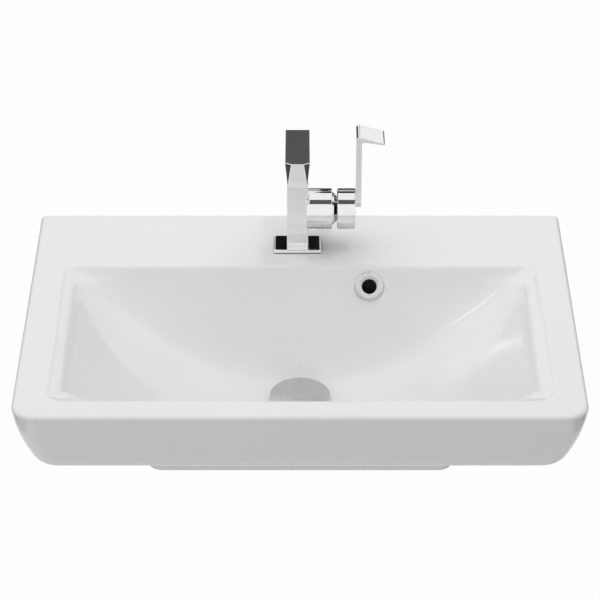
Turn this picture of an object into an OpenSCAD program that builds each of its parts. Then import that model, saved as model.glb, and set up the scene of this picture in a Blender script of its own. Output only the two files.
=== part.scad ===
// Wall-hung washbasin with a single-lever mixer tap on its deck and a push waste.
// The wall is the plane y = 0, the front points to -y, and +z is up.
// The origin lies midway between the two wall-bolt holes.

/* [Basin] */
// Width of the basin
basin_w = 550; // [520:5:600]
// Depth of the basin from the wall to its front
basin_d = 370; // [350:5:400]
// Height of the apron below the rim
apron_h = 63; // [56:1:70]
// Depth of the deck behind the bowl
deck_d = 103; // [95:1:115]
// Width of the rim beside the bowl
side_rim = 35; // [30:1:45]
// Width of the rim in front of the bowl
front_rim = 28; // [24:1:36]
// Depth of the bowl at the waste
bowl_depth = 100; // [85:1:110]
// Thickness of the ceramic
ceramic_t = 12; // [9:0.5:14]
// Thickness of the panel against the wall
back_t = 14; // [12:1:18]
// Distance of the waste from the wall
waste_y = 200; // [190:1:210]
// Height of the foot below the bowl's floor
foot_drop = 25; // [20:1:32]
// Width of the foot under the bowl
foot_w = 304; // [240:1:320]
// Distance of the foot's front face from the wall
foot_front = 287; // [270:1:295]

/* [Wall bolts] */
// Spacing of the two wall bolts
bolt_spacing = 280; // [240:10:320]
// Drop from the rim to the wall bolts
bolt_drop = 80; // [70:1:95]
// Radius of the studs that pass the sleeves
stud_bore_r = 5.25; // [4.25:0.25:6.25]

/* [Overflow] */
// Distance of the overflow from the middle of the basin
overflow_x = 71.5; // [60:0.5:90]
// Depth of the overflow's centre below the rim
overflow_drop = 18.8; // [18:0.1:30]
// Outer radius of the overflow ring
overflow_ring_r = 15.5; // [14.5:0.5:17]
// Radius of the hole through the overflow ring
overflow_hole_r = 7.4; // [6:0.2:9]

/* [Tap] */
// Sideways place of the tap from the middle of the basin
tap_x = -2.5; // [-5:0.5:5]
// Distance of the tap column's axis from the wall
tap_y = 58.7; // [56:0.1:62]
// Width of the base plate
plate_w = 50; // [46:1:54]
// Depth of the base plate
plate_d = 31; // [30:0.5:33]
// Thickness of the base plate
plate_t = 3; // [3:0.5:5]
// Distance from the column's axis forward to the base plate's middle
plate_shift = 4; // [3:0.5:4.5]
// Width of the square column
column_w = 22; // [21:0.5:24]
// Width of the spout's top face
spout_w = 25; // [23.5:0.5:27]
// Reach of the spout in front of the column's axis
spout_reach = 91.3; // [80:0.1:105]
// Height of the spout's top at its back, above the deck
spout_back_z = 130.5; // [122:0.5:140]
// Height of the spout's end face
spout_face_h = 27; // [24:0.5:30]
// Rise of the spout towards its end, in degrees
spout_rise = 10; // [6:0.5:12]
// Height of the barrel's axis above the deck
barrel_z = 43.5; // [40:0.5:50]
// Outer radius of the barrel
barrel_r = 21.5; // [21.5:0.5:23]
// Gap between the barrel and the handle hub
hub_gap = 5.5; // [5.5:0.1:7]
// Length of the handle hub
hub_l = 18.5; // [17:0.5:22]
// Thickness of the lever plate
lever_t = 6; // [5:0.5:8]
// Width of the lever plate
lever_w = 27; // [22:1:29]
// Height of the lever's top above the deck
lever_top = 135; // [115:1:150]
// Length of the lever's bent top
lever_tab = 24; // [15:1:30]
// Slope of the lever's bent top, in degrees
lever_slope = 16; // [8:1:20]
// Radius of the tap hole in the deck
tap_hole_r = 14; // [13.5:0.1:14]

/* [Waste] */
// Radius of the waste hole in the ceramic
waste_hole_r = 23; // [22.5:0.5:24]
// Outer radius of the waste's threaded body
waste_r = 20.95; // [20:0.05:21]
// Radius of the waste's flange
flange_r = 31.5; // [30:0.5:34]
// Length of the waste below the bowl
waste_l = 58; // [54:1:64]
// Travel of the plug
plug_travel = 8; // [6:0.5:9]

/* [Hidden] */
$fn = 64;

// Basin shape
rim_z = bolt_drop;
edge_r = 4;
foot_edge_r = 6;
side_taper = 20;
front_taper = 5;
taper_power = 1.8;
front_corner_r = 24;
back_corner_r = 5;
deck_t = ceramic_t;
void_side_gap = 2;
bowl_corner_r = 14;
bowl_hx = basin_w / 2 - side_rim;
bowl_hy = (basin_d - front_rim - deck_d) / 2;
bowl_y = deck_d + bowl_hy;
back_lean = 0.46;
front_lean = 0.5;
side_lean = 0.27;
trough_power = 1.05;
fillet = 48;
long_n = 18;
side_n = 8;
corner_n = 3;
ring_n = 11;
ring_power = 1.8;
core_half = 2;
foot_h = bowl_depth + foot_drop;
foot_back = 118;
foot_top = 40;
foot_corner_r = 14;
boss_r = 42;
chamber_t = 8;
boss_floor_t = 6;
gusset_x = 194;
gusset_reach = 110;
gusset_drop = 60;

// Overflow
back_slope = atan(back_lean);
overflow_sleeve_r = 10.9;
sleeve_play = 0.1;
ring_edge_t = 1;
ring_t = 2.9;
duct_w = 30;
duct_wall = 7;
duct_top_d = 12;
duct_top_h = 30;
duct_top_low = 18;
duct_bend_x = 20;
duct_bend_y = 150;
duct_low_x = 8;
duct_low_d = 22;

// Wall sleeves
sleeve_wall = 3.5;
sleeve_flange = 4;
sleeve_flange_t = 2;

// Tap
gasket_t = 1;
plate_edge = 1.5;
plate_top = gasket_t + plate_t;
plate_y = tap_y + plate_shift;
column_edge_r = 1.2;
column_bury = 10;
feed_turn = 5;
mixed_rise = 7;
spout_duct_drop = 14;
port_r = 4;
port_x = -3;
port_y = 5.5;
stud_r = 4;
stud_x = 5.2;
thread_depth = 15.5;
duct_r = 2.75;
ports = [[5, port_y], [5, -port_y], [-7, 0]];
tip_y = -spout_reach;
tip_z = spout_back_z + (spout_reach + column_w / 2) * tan(spout_rise);
under_z = tip_z - spout_face_h;
corner_cut = 6.3;
corner_back = 5;
spout_back_r = 0.8;
face_low_w = 19.5;
barrel_start = column_w / 2 - 2;
cartridge_x = 12.5;
cartridge_r = 17.4;
cartridge_play = 0.2;
cartridge_l = 20;
cartridge_base_t = 3;
cartridge_wall = 2.8;
seal_t = 0.6;
thread_r = 18.6;
nut_t = 4.5;
nut_lip = 2.5;
nut_corner_r = 14.5;
barrel_end = cartridge_x + seal_t + cartridge_l + nut_lip;
hub_x = barrel_end + hub_gap;
hub_end = hub_x + hub_l;
hub_cavity_r = barrel_r - 1.9;
hub_cavity_l = 5;
hub_room_r = 15;
hub_room_l = 5;
hub_boss_r = 7.5;
hub_boss_l = 4;
hub_cap_t = 3;
hub_edge = 0.7;
grub_x = 2.5;
grub_r = 2;
grub_l = 8;
grub_cover_r = 3;
grub_cover_l = 4;
cover_r = 17;
cover_l = 5;
cover_edge = 1.8;
cover_flat = 3;
cover_t = 1.5;
cover_wall = 2.2;
stem_hole_r = 9.5;
disc_t = 3.5;
disc_film = 0.05;
disc_play = 0.3;
disc_clear = 0.1;
mixing_r = 4.5;
mixing_l = 1.2;
cam_r = 2.8;
cam_hole_r = 4.2;
cam_hole_l = 1.6;
carrier_slot_l = 19;
stem_play = 0.2;
stem_gap = 0.8;
pin_play = 0.04;
housing_bore_r = cartridge_r - cartridge_wall;
disc_x = cartridge_x + seal_t + cartridge_base_t;
moving_x = disc_x + disc_t + disc_film;
moving_r = 11.5;
carrier_x = moving_x + disc_t + disc_film;
carrier_r = housing_bore_r - disc_play;
carrier_end = barrel_end - nut_lip - 0.3;
pivot_x = 29.5;
pin_r = 1.5;
stem_w = 7;
aerator_r = 8;
aerator_play = 0.05;
aerator_back = 12;
aerator_l = 9;
aerator_room = 2;
aerator_wall = 1.45;
aerator_lip = 2.5;
washer_hole_r = 5;
sieve_hole_r = 1.1;
horseshoe_r = 21;
hose_play = 0.3;
slot_past = 2;
rubber_t = 3;
steel_t = 2;
fixing_nut_l = 12;
fixing_nut_r = 6.35;
stud_tail = 46;
lever_bend = 4;
lever_inner_bend = 2;
lever_taper = 7;
lever_tip_t = 2.5;
lever_foot = 3.5;
screw_r = 1.95;
screw_head_r = 2.9;
screw_head_t = 2.5;
screw_rise = 10.4;
screw_side = 5.5;
screw_depth = 3;
screw_end = 0.2;

// Waste
gasket_waste_t = 1;
flange_t = 2.5;
waste_bore_r = 17.5;
seat_clear = 2;
cone_t = 5;
cone_r = waste_hole_r + 9;
cone_top_r = waste_hole_r + 6;
slip_t = 2;
back_nut_t = 8;
back_nut_r = 30;
thread_clear = 0.05;
slot_w = 14;
groove_l = 1;
groove_t = 0.6;
guide_r = 7.5;
guide_bore_r = 4.05;
plug_rod_r = 4;
collar_r = 5.3;
chamber_r = 5.7;
bar_t = 3;
bar_w = 6;
plug_t = 3.5;
seal_wall = 3;
spring_wire_r = 0.5;
spring_r = 4.4;
spring_turns = 6;
seat_z = -bowl_depth;
flange_z = seat_z + gasket_waste_t;
flange_top = flange_z + flange_t;
plug_seal_t = 1;
plug_z = flange_top + plug_seal_t;
waste_bottom = seat_z - waste_l;
boss_bottom = -foot_h;
slip_z = boss_bottom - cone_t - slip_t;
back_nut_z = slip_z - back_nut_t;
guide_top = seat_z - 6;
guide_bottom = guide_top - 30;
guide_lip = 6;
collar_t = 3;
collar_top = guide_top - guide_lip - plug_travel - 1;
spring_bottom = guide_bottom + 2;
spring_top = collar_top - collar_t;

// Parts modelled from the rim's height
module at_rim() {
    translate([0, 0, rim_z]) children();
}

// Parts modelled from the tap column's foot, on the deck
module at_tap() {
    translate([tap_x, -tap_y, rim_z]) children();
}

// Parts of the barrel, modelled along x from the column's axis
module at_barrel(x = 0) {
    at_tap() translate([x, 0, barrel_z]) rotate([0, 90, 0]) children();
}

// Parts of the waste, modelled about its axis from the rim's height
module at_waste(z = 0) {
    translate([0, -waste_y, rim_z + z]) children();
}

module ring(outer_r, inner_r, height) {
    difference() {
        cylinder(r = outer_r, h = height);
        translate([0, 0, -1]) cylinder(r = inner_r, h = height + 2);
    }
}

module rounded_square(w, d, r) {
    square([w - 2 * r, d], center = true);
    square([w, d - 2 * r], center = true);
    for (sx = [-1, 1], sy = [-1, 1])
        translate([sx * (w / 2 - r), sy * (d / 2 - r)]) circle(r = r);
}

// Plan outline of the basin between the wall and its front
function arc(cx, cy, r, from, steps = 6) = [
    for (i = [0:steps])
        let (a = from + 90 * i / steps)
            [cx + r * cos(a), cy + r * sin(a)]
];

module plan(w, d, front_r, back_r) {
    polygon(concat(
        arc(w / 2 - back_r, -back_r, back_r, 0),
        arc(-w / 2 + back_r, -back_r, back_r, 90),
        arc(-w / 2 + front_r, -d + front_r, front_r, 180),
        arc(w / 2 - front_r, -d + front_r, front_r, 270)
    ));
}

module slice(z, w, d, front_r, back_r) {
    translate([0, 0, z - 0.01]) linear_extrude(0.01) plan(w, d, front_r, back_r);
}

// Inward lean of the apron at a height below the rim
function taper(z, most) = most * pow(-z / apron_h, taper_power);

// Heights and insets down the apron: rounded rim, leaning wall, rounded foot
body_slices = concat(
    [for (a = [0:22.5:90])
        [-edge_r * (1 - cos(a)), edge_r * (1 - sin(a)), edge_r * (1 - sin(a))]],
    [for (t = [0.2:0.2:0.8])
        let (z = -edge_r - (apron_h - edge_r - foot_edge_r) * t)
            [z, taper(z, side_taper), taper(z, front_taper)]],
    [for (a = [0:22.5:90])
        let (z = -apron_h + foot_edge_r * (1 - sin(a)), inset = foot_edge_r * (1 - cos(a)))
            [z, taper(z, side_taper) + inset, taper(z, front_taper) + inset]]
);

module outer_form() {
    hull()
        for (s = body_slices)
            slice(s[0], basin_w - 2 * s[1], basin_d - s[2], front_corner_r, back_corner_r);
}

// Open space between the aprons, the deck and the back panel
module inner_space() {
    top_w = basin_w - 2 * (ceramic_t + void_side_gap);
    low_w = top_w - 2 * side_taper;
    top_d = basin_d - ceramic_t - void_side_gap - back_t;
    translate([0, -back_t, 0]) hull() {
        slice(-deck_t, top_w, top_d, front_corner_r - ceramic_t / 2, back_corner_r);
        slice(-apron_h - 1, low_w, top_d - front_taper, front_corner_r - ceramic_t / 2, back_corner_r);
    }
}

// Points round a rounded rectangle, each with the direction that its side faces
function outline(hx, hy, r) = concat(
    [for (i = [0:side_n - 1]) [hx, (hy - r) * (2 * i / side_n - 1), 0]],
    corner(hx - r, hy - r, r, 0),
    [for (i = [0:long_n - 1]) [(hx - r) * (1 - 2 * i / long_n), hy, 90]],
    corner(r - hx, hy - r, r, 90),
    [for (i = [0:side_n - 1]) [-hx, (hy - r) * (1 - 2 * i / side_n), 180]],
    corner(r - hx, r - hy, r, 180),
    [for (i = [0:long_n - 1]) [(hx - r) * (2 * i / long_n - 1), -hy, 270]],
    corner(hx - r, r - hy, r, 270)
);

function corner(cx, cy, r, from) = [
    for (i = [0:corner_n - 1])
        let (a = from + 90 * i / corner_n)
            [cx + r * cos(a), cy + r * sin(a), a]
];

// Lean of the bowl's wall that faces a direction, in mm inwards per mm down
function lean(a) = pow(cos(a), 2) * side_lean + pow(sin(a), 2) * (sin(a) > 0 ? back_lean : front_lean);

// Smaller of two depths, rounded over a range where they meet
function blend(a, b) =
    let (k = min(fillet, a + b))
        k <= 0 ? min(a, b) : min(a, b) - pow(max(k - abs(a - b), 0) / k, 2) * k / 4;

// Depth of the trough along the bowl, deepest in the middle
function trough(x, grow, drop) =
    grow - drop + bowl_depth * pow(max(0, 1 - pow(x / (bowl_hx + grow), 2)), trough_power);

// Ring of points at an inset from the bowl's outline; grow is the shell's thickness
function bowl_ring(inset, grow, drop) = [
    for (p = outline(bowl_hx + grow - inset, bowl_hy + grow - inset,
                     min(bowl_corner_r + grow + inset / 2, bowl_hy + grow - inset - 1)))
        let (depth = blend(trough(p[0], grow, drop), inset / lean(p[2])))
            [p[0], p[1] - bowl_y, -depth - drop]
];

// Solid that fills the bowl from a flat top; grow adds the shell's thickness
// and drop is how far below the rim its edge lies
module bowl_form(grow, top, drop) {
    count = 2 * (side_n + long_n) + 4 * corner_n;
    insets = [for (i = [0:ring_n]) pow(i / ring_n, ring_power) * (bowl_hy + grow - core_half)];
    rings = [for (s = insets) bowl_ring(s, grow, drop)];
    lid = [for (p = rings[0]) [p[0], p[1], top]];
    rows = concat([lid], rings);
    // The innermost ring is closed by two end fans and strips between its long sides
    last = (len(rows) - 1) * count;
    half = count / 2;
    points = [for (row = rows, p = row) p];
    walls = [
        for (k = [0:len(rows) - 2], i = [0:count - 1])
            let (a = k * count + i, b = k * count + (i + 1) % count)
                each [[a, b, b + count], [a, b + count, a + count]]
    ];
    ends = [
        for (from = [0, half], i = [-1:side_n - 1])
            let (pivot = (from + (from == 0 ? side_n + 1 : -1)) % count,
                 a = (from + i + (from == 0 ? 0 : 1) + count) % count)
                [last + pivot, last + a, last + (a + 1) % count]
    ];
    strips = [
        for (i = [side_n + 1:half - 2])
            let (a = last + i, d = last + (count + side_n - i) % count, c = d - 1)
                each [[a, c, d], [a, a + 1, c]]
    ];
    polyhedron(points, concat([[for (i = [count - 1:-1:0]) i]], walls, ends, strips), convexity = 6);
}

// Channel from the overflow down to the chamber round the waste
module duct_form(wall, low, high) {
    w = duct_w + 2 * wall;
    top_y = deck_d + back_lean * overflow_drop - ceramic_t - duct_wall;
    hull() {
        translate([overflow_x - w / 2, -top_y - duct_top_d / 2 - wall, -overflow_drop - duct_top_low])
            cube([w, duct_top_d + 2 * wall, duct_top_h]);
        duct_bend(w, wall, low, high);
    }
    hull() {
        duct_bend(w, wall, low, high);
        translate([duct_low_x - w / 2, -waste_y, low]) cube([w, duct_low_d, high - low]);
    }
}

module duct_bend(w, wall, low, high) {
    translate([duct_bend_x - w / 2, -duct_bend_y - wall, low]) cube([w, duct_low_d + 2 * wall, high - low]);
}

module foot() {
    depth = foot_front - foot_back;
    difference() {
        translate([0, -foot_back - depth / 2, -foot_h])
            linear_extrude(foot_h - foot_top) rounded_square(foot_w, depth, foot_corner_r);
        translate([0, -foot_back - depth / 2, -foot_h - 1])
            linear_extrude(foot_h)
                rounded_square(foot_w - 2 * ceramic_t, depth - 2 * ceramic_t, foot_corner_r - ceramic_t / 2);
    }
}

module gusset(x) {
    translate([x - ceramic_t / 2, 0, 0]) rotate([90, 0, 90]) linear_extrude(ceramic_t)
        polygon([[-back_t + 1, -deck_t + 1], [-back_t + 1, 6 - foot_h],
                 [-gusset_reach, -gusset_drop], [-gusset_reach, -deck_t + 1]]);
}

module overflow_axis() {
    translate([overflow_x, -deck_d - back_lean * overflow_drop, -overflow_drop])
        rotate([90 - back_slope, 0, 0]) children();
}

module basin_body() {
    color("white") at_rim() difference() {
        union() {
            difference() {
                outer_form();
                inner_space();
            }
            bowl_form(ceramic_t, -1, 3);
            translate([-gusset_x - ceramic_t / 2, -back_t, -foot_h])
                cube([2 * gusset_x + ceramic_t, back_t, foot_h - apron_h + 10]);
            for (side = [-1, 1])
                gusset(side * gusset_x);
            foot();
            translate([0, -waste_y, boss_bottom]) cylinder(r = boss_r, h = foot_h - bowl_depth);
            duct_form(duct_wall, boss_bottom, boss_bottom + 2 * boss_floor_t + chamber_t);
        }
        bowl_form(0, 2, 0);
        duct_form(0, boss_bottom + boss_floor_t, boss_bottom + boss_floor_t + chamber_t);
        translate([0, -waste_y, boss_bottom + boss_floor_t])
            cylinder(r = boss_r - duct_wall, h = chamber_t);
        translate([0, -waste_y, -foot_h - 1]) cylinder(r = waste_hole_r, h = foot_h);
        translate([0, -waste_y, seat_z]) cylinder(r = flange_r + seat_clear, h = 10);
        translate([tap_x, -plate_y, -deck_t - 1])
            cylinder(r = tap_hole_r, h = deck_t + 2);
        overflow_axis() translate([0, 0, -ceramic_t - 6])
            cylinder(r = overflow_sleeve_r + sleeve_play, h = ceramic_t + 12);
        for (side = [-1, 1])
            translate([side * bolt_spacing / 2, 1, -bolt_drop]) rotate([90, 0, 0])
                cylinder(r = stud_bore_r + sleeve_wall + sleeve_play, h = back_t + 2);
    }
}

module overflow_ring() {
    color("silver") at_rim() overflow_axis() rotate_extrude()
        polygon([[overflow_hole_r, -ceramic_t], [overflow_sleeve_r, -ceramic_t],
                 [overflow_sleeve_r, 0.05], [overflow_ring_r, 0.05],
                 [overflow_ring_r, ring_edge_t], [overflow_ring_r - 1.5, ring_t - 0.5],
                 [overflow_ring_r - 4, ring_t], [overflow_hole_r + 1.5, ring_t - 0.7],
                 [overflow_hole_r, ring_edge_t]]);
}

module wall_sleeves() {
    color("whitesmoke")
        for (side = [-1, 1])
            translate([side * bolt_spacing / 2, 0, 0]) rotate([90, 0, 0]) difference() {
                union() {
                    cylinder(r = stud_bore_r + sleeve_wall, h = back_t + 0.05);
                    translate([0, 0, back_t]) cylinder(r = stud_bore_r + sleeve_wall + sleeve_flange,
                                                       h = sleeve_flange_t);
                }
                translate([0, 0, -1]) cylinder(r = stud_bore_r, h = back_t + sleeve_flange_t + 2);
            }
}

module tap_gasket() {
    color("dimgray") at_tap() translate([0, -plate_shift, 0]) difference() {
        linear_extrude(gasket_t) rounded_square(plate_w - 1, plate_d - 1, 2);
        translate([0, 0, -1]) cylinder(r = tap_hole_r, h = gasket_t + 2);
    }
}

module tap_base_plate() {
    color("silver") at_tap() difference() {
        translate([0, -plate_shift, gasket_t]) hull() {
            linear_extrude(plate_t - plate_edge) rounded_square(plate_w, plate_d, 2, $fn = 32);
            linear_extrude(plate_t - plate_edge / 3)
                rounded_square(plate_w - plate_edge * 2 / 3, plate_d - plate_edge * 2 / 3, 2, $fn = 32);
            linear_extrude(plate_t)
                rounded_square(plate_w - 2 * plate_edge, plate_d - 2 * plate_edge, 2, $fn = 32);
        }
        linear_extrude(plate_top + 1) rounded_square(column_w - 3, column_w - 3, 2);
    }
}

// Small block that marks a corner of the spout's hull
module spout_corner() {
    cube([1, 0.01, 1], center = true);
}

module spout() {
    back_y = column_w / 2;
    back_low = under_z - (spout_reach + back_y) * tan(spout_rise);
    hull() {
        for (side = [-1, 1]) {
            translate([side * (spout_w / 2 - spout_back_r), back_y - spout_back_r, back_low])
                cylinder(r = spout_back_r, h = spout_back_z - back_low, $fn = 16);
            translate([side * (spout_w / 2 - 0.5), tip_y + corner_back,
                       tip_z - corner_back * tan(spout_rise) - 0.5])
                spout_corner();
            translate([side * (spout_w / 2 - corner_cut - 0.5), tip_y + 0.005, tip_z - 0.5])
                spout_corner();
            translate([side * (face_low_w / 2 - 0.5), tip_y + 0.005, under_z + 0.5])
                spout_corner();
        }
    }
}

// Axis of the aerator, square to the spout's underside and pointing down
module aerator_axis() {
    y = -spout_reach + aerator_back;
    translate([0, y, under_z - aerator_back * tan(spout_rise)])
        rotate([180 - spout_rise, 0, 0]) children();
}

module tap_body() {
    color("silver") at_tap() difference() {
        union() {
            translate([0, 0, plate_top]) linear_extrude(spout_back_z - column_bury - plate_top)
                rounded_square(column_w, column_w, column_edge_r);
            translate([barrel_start, 0, barrel_z]) rotate([0, 90, 0])
                cylinder(r = barrel_r, h = barrel_end - barrel_start);
            spout();
        }
        // Cartridge seat and its thread
        translate([cartridge_x, 0, barrel_z]) rotate([0, 90, 0])
            cylinder(r = cartridge_r + cartridge_play, h = barrel_end);
        translate([barrel_end - nut_lip, 0, barrel_z]) rotate([0, 90, 0])
            cylinder(r = thread_r, h = barrel_end);
        // Stud thread and the two inlets
        translate([stud_x, 0, 0]) cylinder(r = stud_r, h = plate_top + thread_depth);
        for (side = [-1, 1]) {
            translate([port_x, side * port_y, 0]) cylinder(r = port_r, h = plate_top + thread_depth);
            translate([port_x, side * port_y, 0]) cylinder(r = duct_r, h = barrel_z - feed_turn);
            translate([port_x, side * port_y, barrel_z - feed_turn]) rotate([0, 90, 0])
                cylinder(r = duct_r, h = cartridge_x - port_x + 1);
        }
        // Mixed water up the column and out along the spout
        translate([0, 0, barrel_z + mixed_rise]) rotate([0, 90, 0])
            cylinder(r = duct_r, h = cartridge_x + 1);
        translate([0, 0, barrel_z + mixed_rise])
            cylinder(r = duct_r, h = spout_back_z - spout_duct_drop + 1 - barrel_z - mixed_rise);
        translate([0, 0, spout_back_z - spout_duct_drop]) rotate([90 - spout_rise, 0, 0])
            cylinder(r = duct_r, h = (spout_reach - aerator_back) / cos(spout_rise));
        aerator_axis() translate([0, 0, -aerator_l - aerator_room])
            cylinder(r = aerator_r + aerator_play, h = 20);
    }
}

module aerator_washer() {
    color("dimgray") at_tap() aerator_axis() translate([0, 0, -aerator_l - aerator_room])
        ring(aerator_r, washer_hole_r, aerator_room - 0.1);
}

module aerator_insert() {
    color("white") at_tap() aerator_axis() translate([0, 0, -aerator_l]) difference() {
        cylinder(r = aerator_r - aerator_wall - aerator_play, h = aerator_l - 1);
        for (x = [-3:3:3], y = [-3:3:3])
            translate([x, y, -1]) cylinder(r = sieve_hole_r, h = aerator_l + 2);
    }
}

module aerator_housing() {
    color("silver") at_tap() aerator_axis() difference() {
        translate([0, 0, -aerator_l]) cylinder(r = aerator_r, h = aerator_l + 1);
        translate([0, 0, -aerator_l - 1]) cylinder(r = aerator_r - aerator_wall, h = aerator_l + 0.05);
        translate([0, 0, -2]) cylinder(r = aerator_r - aerator_lip, h = 4);
    }
}

module fixing_stud() {
    color("darkgray") at_tap() translate([stud_x, 0, -stud_tail])
        cylinder(r = stud_r - 0.05, h = stud_tail + plate_top + thread_depth - 1);
}

module horseshoe(z, height) {
    at_tap() translate([0, 0, z]) difference() {
        translate([0, -plate_shift, 0]) cylinder(r = horseshoe_r, h = height);
        translate([stud_x, 0, -1]) cylinder(r = stud_r + hose_play, h = height + 2);
        // Slot for the two hoses, open at one side
        for (side = [-1, 1])
            translate([port_x, side * port_y, -1]) cylinder(r = port_r + hose_play, h = height + 2);
        translate([port_x + slot_past - 2 * horseshoe_r, -port_y - port_r - hose_play, -1])
            cube([2 * horseshoe_r, 2 * (port_y + port_r + hose_play), height + 2]);
    }
}

module horseshoe_rubber() {
    color("dimgray") horseshoe(-deck_t - rubber_t, rubber_t);
}

module horseshoe_plate() {
    color("darkgray") horseshoe(-deck_t - rubber_t - steel_t, steel_t);
}

module fixing_nut() {
    color("goldenrod") at_tap()
        translate([stud_x, 0, -deck_t - rubber_t - steel_t - fixing_nut_l]) difference() {
            cylinder(r = fixing_nut_r, h = fixing_nut_l, $fn = 6);
            translate([0, 0, -1]) cylinder(r = stud_r, h = fixing_nut_l + 2);
        }
}

module port_seals() {
    color("dimgray") at_barrel(cartridge_x)
        for (p = ports)
            translate([p[0], p[1], 0]) ring(duct_r + 1.5, duct_r, seal_t);
}

module cartridge_housing() {
    color("gainsboro") at_barrel(cartridge_x + seal_t) difference() {
        cylinder(r = cartridge_r, h = cartridge_l);
        translate([0, 0, cartridge_base_t]) cylinder(r = housing_bore_r, h = cartridge_l);
        for (p = ports)
            translate([p[0], p[1], -1]) cylinder(r = duct_r, h = cartridge_l);
    }
}

module fixed_disc() {
    color("white") at_barrel(disc_x) difference() {
        cylinder(r = housing_bore_r - disc_clear, h = disc_t);
        for (p = ports)
            translate([p[0], p[1], -1]) cylinder(r = duct_r, h = disc_t + 2);
    }
}

module moving_disc() {
    color("lightgray") at_barrel(moving_x) difference() {
        cylinder(r = moving_r, h = disc_t);
        translate([0, 0, -1]) cylinder(r = mixing_r, h = mixing_l + 1);
        translate([0, 0, disc_t - cam_hole_l]) cylinder(r = cam_hole_r, h = cam_hole_l + 1);
    }
}

module turning_carrier() {
    color("slategray") at_barrel(carrier_x) difference() {
        cylinder(r = carrier_r, h = carrier_end - carrier_x);
        translate([0, 0, -1]) linear_extrude(carrier_end)
            square([carrier_slot_l, stem_w + 2 * stem_play], center = true);
        translate([0, 0, pivot_x - carrier_x]) rotate([90, 0, 0])
            cylinder(r = pin_r + pin_play, h = 2 * carrier_r + 2, center = true);
    }
}

module tilting_stem() {
    color("silver") {
        at_barrel() {
            translate([-stem_w / 2, -stem_w / 2, carrier_x + stem_gap])
                cube([stem_w, stem_w, hub_end - hub_cap_t - carrier_x - stem_gap]);
            translate([0, 0, moving_x + disc_t - 1]) cylinder(r = cam_r, h = 3);
            translate([0, 0, pivot_x]) rotate([90, 0, 0])
                cylinder(r = pin_r, h = 2 * carrier_r - 3, center = true);
        }
    }
}

module retaining_nut() {
    color("goldenrod") at_barrel(barrel_end - nut_lip) difference() {
        union() {
            cylinder(r = thread_r - 0.05, h = nut_lip);
            cylinder(r = nut_corner_r, h = nut_t, $fn = 6);
        }
        translate([0, 0, -1]) cylinder(r = stem_hole_r + 1, h = nut_t + 2);
    }
}

module cover_ring() {
    color("silver") at_barrel(barrel_end) rotate_extrude()
        polygon([[cover_r - cover_edge, 0], [cover_r, 0], [cover_r, cover_edge],
                 [stem_hole_r + cover_flat, cover_l], [stem_hole_r, cover_l],
                 [stem_hole_r, cover_l - cover_t], [cover_r - cover_wall, nut_t - nut_lip + 0.1]]);
}

module handle_hub() {
    boss_end = hub_cavity_l + hub_room_l;
    color("silver") at_barrel(hub_x) difference() {
        rotate_extrude()
            polygon([[0, boss_end - hub_boss_l], [hub_boss_r, boss_end - hub_boss_l],
                     [hub_boss_r, boss_end], [hub_room_r, boss_end],
                     [hub_room_r, hub_cavity_l], [hub_cavity_r, hub_cavity_l], [hub_cavity_r, 0],
                     [barrel_r - hub_edge, 0], [barrel_r, hub_edge], [barrel_r, hub_l - hub_edge],
                     [barrel_r - hub_edge, hub_l], [0, hub_l]]);
        linear_extrude(hub_l - hub_cap_t) square(stem_w, center = true);
        translate([0, 0, boss_end + grub_x]) rotate([0, 90, 0]) cylinder(r = grub_r, h = barrel_r + 1);
        translate([barrel_r - grub_cover_l, 0, boss_end + grub_x]) rotate([0, 90, 0])
            cylinder(r = grub_cover_r, h = grub_cover_l + 1);
        for (side = [-1, 1])
            translate([-screw_rise, side * screw_side, boss_end - 1]) cylinder(r = screw_r, h = hub_l);
    }
}

module grub_screw() {
    color("dimgray") at_barrel(hub_x + hub_cavity_l + hub_room_l + grub_x)
        rotate([0, 90, 0]) translate([0, 0, stem_w / 2]) cylinder(r = grub_r - 0.02, h = grub_l);
}

module grub_cover() {
    color("slategray") at_barrel(hub_x + hub_cavity_l + hub_room_l + grub_x)
        rotate([0, 90, 0]) translate([0, 0, barrel_r - grub_cover_l])
            cylinder(r = grub_cover_r - 0.02, h = grub_cover_l - 0.4);
}

module lever_screws() {
    color("darkgray") at_barrel(hub_x + hub_cavity_l + hub_room_l)
        for (side = [-1, 1])
            translate([-screw_rise, side * screw_side, -screw_head_t]) {
                cylinder(r = screw_head_r, h = screw_head_t);
                cylinder(r = screw_r - 0.02,
                         h = hub_l - hub_cavity_l - hub_room_l + screw_head_t + screw_depth);
            }
}

// Side view of the lever: upright plate, bend, and a tapering tab that slopes down outwards
module lever_outline() {
    tab_end = lever_t + lever_tab - 1;
    under = lever_slope - lever_taper;
    bend_x = lever_bend * (1 + sin(lever_slope));
    bend_z = lever_top - lever_bend * (1 - cos(lever_slope));
    tip_top = bend_z - (tab_end - bend_x) * tan(lever_slope);
    tip_low = tip_top - lever_tip_t;
    turn_x = lever_t + lever_inner_bend;
    run = tab_end - turn_x - lever_inner_bend * sin(under);
    turn_z = tip_low + run * tan(under) - lever_inner_bend * cos(under);
    polygon(concat(
        [[0, barrel_z + lever_foot], [lever_t, barrel_z + lever_foot]],
        [for (i = [0:6])
            let (a = 180 - i * (90 + under) / 6)
                [turn_x + lever_inner_bend * cos(a), turn_z + lever_inner_bend * sin(a)]],
        [[tab_end, tip_low], [tab_end, tip_top]],
        [for (i = [0:6])
            let (a = 90 - lever_slope + i * (90 + lever_slope) / 6)
                [lever_bend + lever_bend * cos(a), lever_top - lever_bend + lever_bend * sin(a)]]
    ));
}

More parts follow.
